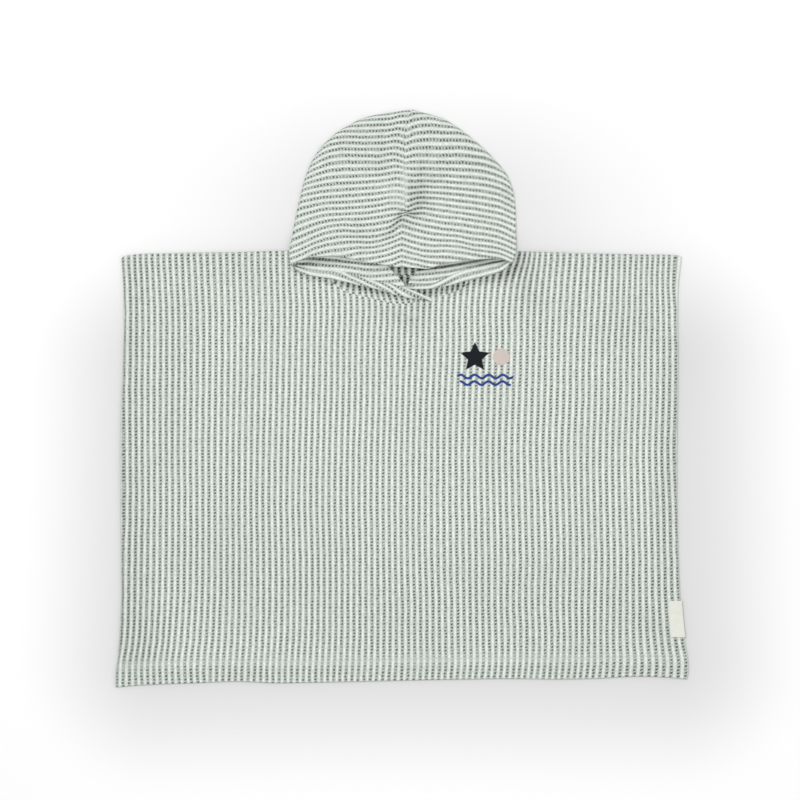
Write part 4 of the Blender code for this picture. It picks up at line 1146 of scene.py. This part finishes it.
def build_back(material):
    """The back panel: ribbed on both sides, and seen from above only inside the face opening."""
    stripe, outward = body_columns()
    opening = np.abs(stripe - BACK_NECK["stripe"]) < BACK_NECK["half_width"]
    keep = (np.arange(len(stripe)) % 2 == 0) | opening | (outward != 0.0)
    columns = (stripe[keep], outward[keep])
    top = edge_rows(*columns, back_top_y, BACK_EDGE_INSET)
    hem = edge_rows(*columns, lambda x: hem_y(x) + BACK_EDGE_INSET, BACK_EDGE_INSET)
    y = blend_rows(top, hem, BACK_SHARES)
    x, number, distance = body_grid(*columns, y, top, hem, BACK_EDGE_INSET)
    inner_number = (x - BACK_NECK["x"]) / BACK_NECK["pitch"]
    lower_number = inner_number + BACK_NECK["shift"]
    shown_number = np.where(y > BACK_NECK["break_y"], inner_number, lower_number)

    middle = 0.5 * BACK_WALL
    rim = mix(THIN_EDGE["back"], 1.0, rounded(distance, BACK_ROUND))
    upper_z = BACK_WALL - BACK_RIB + BACK_RIB * rib_shape(shown_number)
    under_z = UNDER_RIB * (1.0 - rib_shape(number)) * rounded(distance, UNDER_ROUND)
    upper, under = (np.dstack((x, y, mix(middle, z, rim))) for z in (upper_z, under_z))
    is_below = 0.5 * (y[1:, 1:] + y[:-1, 1:]) < BACK_NECK["break_y"]
    return add_cloth("back_panel", upper, under, weave_map(inner_number, y), weave_map(number, y),
                     material, patch=(is_below, weave_map(lower_number, y)),
                     shade=(light_map(BACK_SHADE, (), x, y), None))


# ================================================================ hood
def outward_normals(side, hand):
    """Unit normals of the silhouette in the ground plane, pointing away from the hood."""
    tangent = np.gradient(side, axis=0)
    tangent = tangent / np.linalg.norm(tangent, axis=1)[:, None]
    return np.stack((hand * tangent[:, 1], -hand * tangent[:, 0]), axis=1)


def hood_frame(half):
    """What each row of a half starts from, as columns: seam, silhouette, its normal, fold, end."""
    steady = np.linspace(BAND_DEPTH, TIP_SEAM_Y - LIP_SEAM_Y, STEADY_ROWS)
    seam_y = LIP_SEAM_Y + np.concatenate((EDGE_ROWS, steady))
    seam_x, side_x, side_y, end_x, end_y = (look_up(half.sections, seam_y, k) for k in range(1, 6))
    side = np.stack((side_x, side_y), axis=1)
    normal = outward_normals(side, half.hand)
    hairline = half.hand * HAIRLINE
    seam_x = seam_x + hairline
    end_x = end_x + smooth_step(*CLOSED_Y, seam_y) * hairline
    centre = side - normal * FOLD_RADIUS
    return SimpleNamespace(
        side=side, normal=normal, centre=centre, centre_x=centre[:, :1], centre_y=centre[:, 1:],
        seam_x=seam_x[:, None], seam_y=seam_y[:, None], end_x=end_x[:, None], end_y=end_y[:, None],
        from_edge=seam_y[:, None] - LIP_SEAM_Y)


def row_shift(x, table, index, row_x, row_y):
    """How far a row moves in y at x, so that it runs along a measured line."""
    order = np.argsort(row_x)
    held = np.clip(x, table[0][0], table[-1][0])
    return look_up(table, held, index) - np.interp(held, row_x[order], row_y[order])


def lower_place(half, rows, share):
    """x and y of the lower layer, and how far its rows are across the band."""
    x = mix(rows.centre_x, rows.end_x, share)
    sag = look_up(BAND_SAG, share, half.index) * (1.0 - smooth_step(*SAG_FADE, rows.seam_y))
    y = mix(rows.centre_y, rows.end_y, share) + sag
    creased = [row for row in half.band if half.hand * row[0] >= -CREASE_REACH]
    crease = len(EDGE_ROWS)
    across = np.clip(rows.from_edge / BAND_DEPTH, 0.0, 1.0)
    shift = mix(row_shift(x, half.band, 1, x[0], y[0]),
                row_shift(x, creased, 2, x[crease], y[crease]), across)
    fade = 1.0 - smooth_step(*SHIFT_FADE, rows.seam_y)
    fade = fade * smooth_step(0.0, LOWER_START["rows"], share)
    return x, y + shift * fade, across


def lower_level(half, rows, share, x, y):
    """Underside of the hood's lower layer: band over neckline, then back panel, then ground."""
    level = FRONT_LEVEL * (1.0 - smooth_step(*FLOOR_RAMP, y))
    band = 1.0 - smooth_step(*BAND_FADE, rows.seam_y)
    shoulder = (1.0 - smooth_step(*SIDE_STRIP, share)) * (1.0 - smooth_step(*SIDE_FADE, y))
    level = level + LAYER_LIFT * np.maximum(band, shoulder)
    if half.crosses_over:
        tip_start, tip_end, tip_share = CROSS_TIP
        climb = smooth_step(*CROSS_RAMP, x) * (1.0 - tip_share * smooth_step(tip_start, tip_end, x))
        level = level + LAYER_LIFT * climb * (1.0 - smooth_step(*CROSS_FADE, rows.seam_y))
    return level


def lower_sides(half, rows, share, x, number, across, level):
    """Heights of the lower layer's outer side, which lies on the garment, and inner side."""
    started = smooth_step(*half.roll_start, share)
    roll = ROLL_HEIGHT * np.sqrt(1.0 - (2.0 * across - 1.0) ** 2) * started
    roll = roll * smooth_step(*half.roll_x, x)
    past = rows.from_edge - BAND_DEPTH
    dip = CREASE_DIP * bump(past, CREASE_WIDTH) * (past >= 0.0) * started
    wall = mix(FOLD_WALL, WALL + RIB_HEIGHT * rib_shape(number) + roll - dip,
               smooth_step(0.0, LOWER_START["wall"], share))
    edge = np.minimum(rounded(rows.from_edge, BAND_ROUND), rounded(np.abs(x - rows.end_x), BAND_ROUND))
    rim = mix(BAND_RIM["least"], 1.0, edge)
    outer = level + BAND_RIM["lift"] * (1.0 - rim) * wall
    return outer, level + wall * mix(BAND_RIM["wall"], 1.0, rim)


def unrolled(rows, x, y):
    """Where points near the silhouette would lie if the cloth did not turn down there."""
    from_row = np.stack((x - rows.side[:, :1], y - rows.side[:, 1:]), axis=2)
    inside = -np.einsum("rck,rk->rc", from_row, rows.normal)
    across = np.clip(TURN_RADIUS - inside, 0.0, TURN_RADIUS * MOST_TURN)
    extra = TURN_RADIUS * np.arcsin(across / TURN_RADIUS) - across
    return x + extra * rows.normal[:, :1], y + extra * rows.normal[:, 1:]


def crown_layer(half, rows, share, foot):
    """x and y, ribbed and plain side, and stripe number of the crown: a low dome with soft folds."""
    x = mix(rows.seam_x, rows.centre_x, share)
    rise = look_up(LIP_RISE, share, half.index) * (1.0 - smooth_step(*LIP_FADE, rows.seam_y))
    y = mix(rows.seam_y, rows.centre_y, share ** CROWN_DROOP) + rise
    number = stripe_at(half.crown_stripes, half.crown_columns, *unrolled(rows, x, y))

    side_level = foot + FOLD_HEIGHT - FOLD_WALL
    plain = mix(look_up(CROWN_LEVELS, rows.seam_y), side_level,
                smooth_step(CROWN_TURN["level"], 1.0, share))
    folds = fold_height(CROWN_FOLDS, x, y)
    plain = plain + folds * (1.0 - smooth_step(CROWN_TURN["folds"], 1.0, share))
    plain = plain - PINCH["depth"] * bump(np.hypot(x - PINCH["x"], y - PINCH["y"]), PINCH["radius"])
    rib = rib_shape(number)
    wall = mix(WALL + RIB_HEIGHT * rib, SIDE_WALL + SIDE_RIB * rib,
               smooth_step(CROWN_TURN["wall"], 1.0, share))
    wall = wall * mix(THIN_EDGE["crown"], 1.0, rounded(rows.from_edge, LIP_ROUND))
    dip = SEAM_DIP * (1.0 - rounded(np.abs(x - rows.seam_x), SEAM_ROUND))
    return x, y, plain + wall - dip, plain, number


def fold_numbers(half, rows):
    """Stripe numbers round the fold: as on the crown to its middle, and steady from there on."""
    numbers = []
    for turn in FOLD_TURNS:
        spot = rows.centre + rows.normal * (FOLD_RADIUS * np.sin(np.pi * min(turn, 0.5)))
        numbers.append(stripe_at(half.crown_stripes, half.crown_columns,
                                 *unrolled(rows, spot[:, :1], spot[:, 1:])))
    return np.concatenate(numbers, axis=1)


def fold_points(rows, foot, reach_at):
    """Points round the fold; reach_at gives each row's distance from its middle at an angle."""
    points = []
    for angle in np.pi * np.array(FOLD_TURNS):
        reach = reach_at(angle) * np.ones((len(foot), 1))
        spot = rows.centre + rows.normal * (reach * np.sin(angle))
        height = foot + FOLD_RADIUS + reach * np.cos(angle)
        points.append(np.concatenate((spot, height), axis=1)[:, None])
    return np.concatenate(points, axis=1)


def lined_up(run, x, start):
    """Runs of the rows, each counted from where its row passes x = start."""
    order = np.argsort(x, axis=1)
    passed = [np.interp(start, line[turn], length[turn]) for line, length, turn in zip(x, run, order)]
    return run - np.array(passed)[:, None]


def build_hood_half(name, half, material):
    """One half: rows run parallel to the face edge, from the seam round the fold to the inside."""
    rows = hood_frame(half)
    low_x, low_y, across = lower_place(half, rows, LOWER_SHARES)
    level = lower_level(half, rows, LOWER_SHARES, low_x, low_y)
    foot = level[:, :1]
    crown_x, crown_y, ribbed, plain, number = crown_layer(half, rows, CROWN_SHARES, foot)

    turns = fold_numbers(half, rows)
    side_number = turns[:, -1:]
    face_number = mix(side_number, stripe_at(half.face_stripes, half.face_columns, low_x, low_y),
                      smooth_step(0.0, LOWER_START["stripes"], LOWER_SHARES))
    roll_number = (low_y - look_up(half.band, low_x, 3)) / look_up(half.band, low_x, 4)
    in_roll = rows.from_edge < BAND_DEPTH
    low_outer, low_inner = lower_sides(half, rows, LOWER_SHARES, low_x,
                                       np.where(in_roll, roll_number, face_number), across, level)

    puff = SIDE_RIB * (rib_shape(side_number) - 0.5)
    outer = np.concatenate((
        np.dstack((crown_x, crown_y, ribbed)),
        fold_points(rows, foot, lambda angle: FOLD_RADIUS + puff * np.cos(angle / 2.0)),
        np.dstack((low_x, low_y, low_outer))), axis=1)
    inner = np.concatenate((
        np.dstack((crown_x, crown_y, plain)),
        fold_points(rows, foot, lambda angle: FOLD_RADIUS - FOLD_WALL),
        np.dstack((low_x, low_y, low_inner))), axis=1)

    first_low = crown_x.shape[1] + len(FOLD_TURNS)
    run = run_along(inner)
    run[:, first_low:] = lined_up(run[:, first_low:], low_x, half.hand * KNOT_START_X)
    plain_weave, rolled_weave = (
        weave_map(np.concatenate((number, turns, low), axis=1), -half.hand * run)
        for low in (face_number, roll_number))
    hidden = np.broadcast_to(side_number, low_x.shape)
    hidden_weave = weave_map(np.concatenate((number, turns, hidden), axis=1),
                             -half.hand * run_along(outer))
    is_roll = np.zeros(np.subtract(outer.shape[:2], 1), bool)
    is_roll[:len(EDGE_ROWS), first_low + 1:] = True
    # painted shade and painted highlight on the lower layer's inner side and on the crown
    inner_lost = np.zeros(inner.shape[:2] + (2,))
    inner_lost[:, first_low:] = light_map(half.shade, half.rub, low_x, low_y)
    outer_lost = np.zeros(outer.shape[:2] + (2,))
    outer_lost[:, :crown_x.shape[1]] = light_map(CROWN_SHADE, CROWN_HIGHLIGHT, crown_x, crown_y)
    return add_cloth(name, inner, outer, plain_weave, hidden_weave, material,
                     patch=(is_roll, rolled_weave), shade=(inner_lost, outer_lost))


# ================================================================ sewing
def unit(vectors):
    return vectors / np.linalg.norm(vectors, axis=1)[:, None]


def add_stitches(name, starts, ends, thickness, material):
    """Short threads, each a small bowed capsule from one point to another."""
    along = ends - starts
    sideways = unit(np.cross(along, (0.0, 0.0, 1.0)))
    upward = np.cross(sideways, unit(along))
    share, girth, bow = np.array(CAPSULE).T[:, :, None]
    centre = starts[:, None] + along[:, None] * share + upward[:, None] * bow * thickness / 2.0
    angle = np.linspace(0.0, 2.0 * np.pi, CAPSULE_CORNERS + 1)[:-1, None]
    round_it = np.cos(angle) * sideways[:, None] + np.sin(angle) * upward[:, None]
    points = centre[:, :, None] + round_it[:, None] * girth[:, None] * thickness / 2.0
    numbers = np.arange(points[..., 0].size).reshape(points.shape[:3])
    after = np.roll(numbers, -1, axis=2)
    sides = np.stack((numbers[:, :-1], numbers[:, 1:], after[:, 1:], after[:, :-1]), axis=-1)
    caps = np.concatenate((numbers[:, 0], numbers[:, -1, ::-1]))
    faces = sides.reshape(-1, 4).tolist() + caps.tolist()
    return add_mesh(name, points.reshape(-1, 3), faces, material, weave=None)


def hem_stitches(material):
    """One row of lockstitches along the top of the turned hem."""
    place = np.linspace(-HEM_STITCHES["reach"], HEM_STITCHES["reach"], HEM_STITCHES["count"])
    starts, ends = (np.stack((x, stitch_y(x), np.full(len(x), HEM_STITCHES["z"])), axis=1)
                    for x in (place - HEM_STITCHES["half"], place + HEM_STITCHES["half"]))
    return add_stitches("hem_stitches", starts, ends, HEM_STITCHES["thickness"], material)


def satin_level(x, y):
    """Height of satin thread on the front, which evens out the ribs under it."""
    fine = np.arange(0.0, LAST_STRIPE + 0.01, 2.0 * STRIPE_STEP)
    courses = course_x(y) @ curve_weights(BODY_COLUMNS, fine).T
    number = np.array([np.interp(value, course, fine) for value, course in zip(x.ravel(), courses)])
    rib = rib_shape(number).reshape(x.shape)
    ground = FRONT_LEVEL + WALL + RIB_HEIGHT * rib + fold_height(FRONT_FOLDS, x, y)
    return mix(SATIN["level"], ground, SATIN["sinks"]) + SATIN["lift"]


def satin_patch(name, outline, thread_angle, material):
    """A filled shape of satin stitch: a low crowned pad that lies over the ribs."""
    count = len(outline)
    centre = outline.mean(axis=0)
    loops = [np.column_stack((outline, np.full(count, SATIN["foot"])))]
    for scale, lift in SATIN_RINGS:
        spot = mix(centre, outline, scale)
        loops.append(np.column_stack((spot, satin_level(*spot.T) + SATIN["height"] * lift)))
    tops = [[*centre, SATIN["foot"]], [*centre, SATIN["level"] + SATIN["lift"] + SATIN["height"]]]
    points = np.concatenate(loops + [tops])
    numbers = np.arange(len(loops) * count).reshape(-1, count)
    after = np.roll(numbers, -1, axis=1)
    sides = np.stack((numbers[:-1], after[:-1], after[1:], numbers[1:]), axis=-1).reshape(-1, 4)
    low, high = (np.full(count, numbers.size + k) for k in (0, 1))
    fans = np.concatenate((np.stack((after[0], numbers[0], low), axis=1),
                           np.stack((numbers[-1], after[-1], high), axis=1)))
    cosine, sine = np.cos(thread_angle), np.sin(thread_angle)
    weave = points[:, :2] @ np.array(((cosine, -sine), (sine, cosine)))
    corners = np.concatenate((sides.ravel(), fans.ravel()))
    return add_mesh(name, points, sides.tolist() + fans.tolist(), material, weave=weave[corners])


def star_outline(x, y, outer, inner):
    """A five-pointed star with three points along each side."""
    turn = np.arange(10)
    angle = np.pi / 2 + turn * np.pi / 5
    reach = np.where(turn % 2, inner, outer)
    tips = np.stack((x + reach * np.cos(angle), y + reach * np.sin(angle)), axis=1)
    share = np.array(STAR_SHARES)[:, None]
    return mix(tips[:, None], np.roll(tips, -1, axis=0)[:, None], share).reshape(-1, 2)


def disc_outline(x, y, radius):
    angle = np.linspace(0.0, 2.0 * np.pi, DISC_POINTS + 1)[:-1]
    return np.stack((x + radius * np.cos(angle), y + radius * np.sin(angle)), axis=1)


def wave_band(name, start, end, level, phase, material):
    """A wavy line of satin stitch, as one low rounded cord of thread."""
    x = np.linspace(start, end, WAVE["points"])
    angle = 2.0 * np.pi * (x - start) / WAVE["length"] + phase
    y = level + WAVE["swing"] * np.sin(angle)
    slope = WAVE["swing"] * 2.0 * np.pi / WAVE["length"] * np.cos(angle)
    run = np.concatenate(([0.0], np.cumsum(np.hypot(np.diff(x), np.diff(y)))))
    taper = np.maximum(rounded(np.minimum(run, run[-1] - run), WAVE["end"] * WAVE["width"]), WAVE["tip"])
    offset = (0.5 * WAVE["width"] * taper / np.hypot(slope, 1.0))[:, None] * WAVE_SHARES
    spot_x = x[:, None] - slope[:, None] * offset
    spot_y = y[:, None] + offset
    crown = np.sqrt(1.0 - WAVE["flat"] * WAVE_SHARES ** 2)
    z = satin_level(spot_x, spot_y) + WAVE["height"] * crown
    upper = np.dstack((spot_x, spot_y, z))
    under = upper[:, (0, -1)].copy()
    under[:, :, 2] = SATIN["foot"]
    weave = np.dstack(np.broadcast_arrays(run[:, None], WAVE_SHARES * WAVE["width"] / 2.0))
    return add_cloth(name, upper, under, weave, weave[:, (0, -1)], material)


def build_motif():
    """A small generic picture in thread: a star, a disc and two waves."""
    navy, blue, pink = (satin_thread(name) for name in ("thread_navy", "thread_blue", "thread_pink"))
    patches = [satin_patch("motif_star", star_outline(**STAR), THREAD_ANGLE["star"], navy),
               satin_patch("motif_disc", disc_outline(**DISC), THREAD_ANGLE["disc"], pink)]
    return patches + [wave_band(*wave, blue) for wave in WAVES]


def label_side(y, radius, bow, pinch):
    """One side of the tape: flat, a quarter turn over the body's edge, and a short drop."""
    middle = FRONT_LEVEL + LAYER_LIFT - LABEL["clear"]
    flat = np.linspace(-LABEL["width"], 0.0, LABEL_POINTS["flat"])
    angle = np.linspace(0.0, np.pi / 2.0, LABEL_POINTS["bend"])[1:]
    drop = np.linspace(middle, LABEL["drop_to"], LABEL_POINTS["drop"])[1:]
    across = np.r_[flat, radius * np.sin(angle), [radius] * len(drop)]
    level = np.r_[[middle + radius] * len(flat), middle + radius * np.cos(angle), drop]
    flare = np.linspace(1.0, 1.0 + LABEL["flare"], len(y))[:, None]
    lift = bow * np.sin(np.linspace(0.0, np.pi, len(y)))[:, None]
    lift = lift * np.clip(-across / LABEL["width"], 0.0, 1.0)
    rim = rounded(np.minimum(LABEL["top"] - y, y - LABEL["bottom"]), LABEL["rim"])[:, None]
    x = body_x(1.0, y)[:, None] + across * flare
    z = level + lift - pinch * (1.0 - rim)
    return np.dstack((x, np.broadcast_to(y[:, None], x.shape), z))


def build_label(material):
    """A folded tape on the right side seam, flat on the front and turned down over the edge."""
    y = np.linspace(LABEL["top"], LABEL["bottom"], LABEL_POINTS["length"])
    thickness = LABEL["thickness"]
    outer = label_side(y, LABEL["clear"] + thickness, LABEL["bow"], LABEL["pinch"] * thickness)
    plain = label_side(y, LABEL["clear"], LABEL["under_bow"], 0.0)
    weave = np.dstack((run_along(outer), outer[:, :, 1]))
    return add_cloth("side_label", outer, plain, weave, weave, material)


# ================================================================ setting
def add_painted_shadow(nodes, spot, painted_shadow):
    """Painted shadow: how much darker the floor is painted at a spot near a rounded block."""
    beside = [nodes.maths("MAXIMUM", nodes.minus(nodes.maths("ABSOLUTE", nodes.minus(
        spot[axis], painted_shadow["centre"][axis])), painted_shadow["half"][axis] - painted_shadow["rounding"]), 0.0)
        for axis in (0, 1)]
    return nodes.ramp(nodes.length(*beside), painted_shadow["rounding"] - PAINTED_SHADOW_START,
                      painted_shadow["rounding"] + painted_shadow["reach"], painted_shadow["depth"], 0.0)


def add_floor():
    """A wide pale floor under the garment, with the lightest grain and soft painted shadows round the
    garment.
    """
    nodes = Nodes("floor", Roughness=0.95)
    place = nodes.place()
    grain = nodes.times(nodes.noise(place, FLOOR_GRAIN["scale"], 3.0), FLOOR_GRAIN["share"])
    colour = nodes.mix(grain, FLOOR_COLOUR, darker(FLOOR_COLOUR, FLOOR_GRAIN["tone"]))
    spot = nodes.add("SeparateXYZ", ((0, place),))
    # painted shadows darken the floor round the garment
    for painted_shadow in PAINTED_FLOOR_SHADOWS:
        colour = nodes.mix(add_painted_shadow(nodes, spot, painted_shadow), colour, (0.0, 0.0, 0.0, 1.0))
    nodes.put(nodes.shader, "Base Color", colour)
    points = np.array([(x * FLOOR["half_width"], y * FLOOR["half_width"], FLOOR["level"])
                       for x, y in ((-1, -1), (1, -1), (1, 1), (-1, 1))])
    add_mesh("floor", points, [(0, 1, 2, 3)], nodes.material)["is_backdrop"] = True


def add_camera():
    """Straight down, with the frame of the picture 0.856 m wide at the ground."""
    lens = bpy.data.cameras.new("camera")
    lens.lens = FRAME["lens"]
    lens.sensor_width = FRAME["sensor"]
    camera = link("camera", lens)
    camera.location = (*FRAME["centre"], FRAME["width"] * lens.lens / lens.sensor_width)
    bpy.context.scene.camera = camera


def add_light(name, place, size, power):
    """A soft square light in metres, aimed at the middle of the ground."""
    lamp = bpy.data.lights.new(name, "AREA")
    lamp.shape = "SQUARE"
    lamp.size = size
    lamp.energy = power
    light = link(name, lamp)
    light.location = place
    light.rotation_euler = (-Vector(place)).to_track_quat("-Z", "Y").to_euler()


def add_world():
    world = bpy.data.worlds.new("studio")
    world.use_nodes = True
    background = world.node_tree.nodes["Background"]
    background.inputs["Color"].default_value = (1.0, 1.0, 1.0, 1.0)
    background.inputs["Strength"].default_value = SKY_STRENGTH
    bpy.context.scene.world = world


def corners(bounds):
    return [[float(value) for value in corner] for corner in bounds]


def main():
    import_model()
    cad_bounds = corners(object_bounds())
    scene = bpy.context.scene
    scene.view_settings.view_transform = "Standard"
    scene.view_settings.look = "None"

    cotton = ribbed_cotton()
    tape = woven_tape()
    thread = satin_thread("thread_white")
    back = build_back(cotton)
    front = build_front(cotton)
    left = build_hood_half("hood_left_cloth", LEFT_HALF, cotton)
    right = build_hood_half("hood_right_cloth", RIGHT_HALF, cotton)
    label = build_label(tape)
    stitches = hem_stitches(thread)
    motif = build_motif()

    for piece, node in ((back, "back"), (front, "front"), (left, "hood_left"),
                        (right, "hood_right"), (label, "label")):
        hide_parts(node)
    for piece in (back, front, left, right, label, stitches, *motif):
        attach(piece, "root")

    add_floor()
    add_camera()
    add_world()
    for light in LIGHTS:
        add_light(*light)

    {"cad": cad_bounds, "visual": corners(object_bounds())}


main()
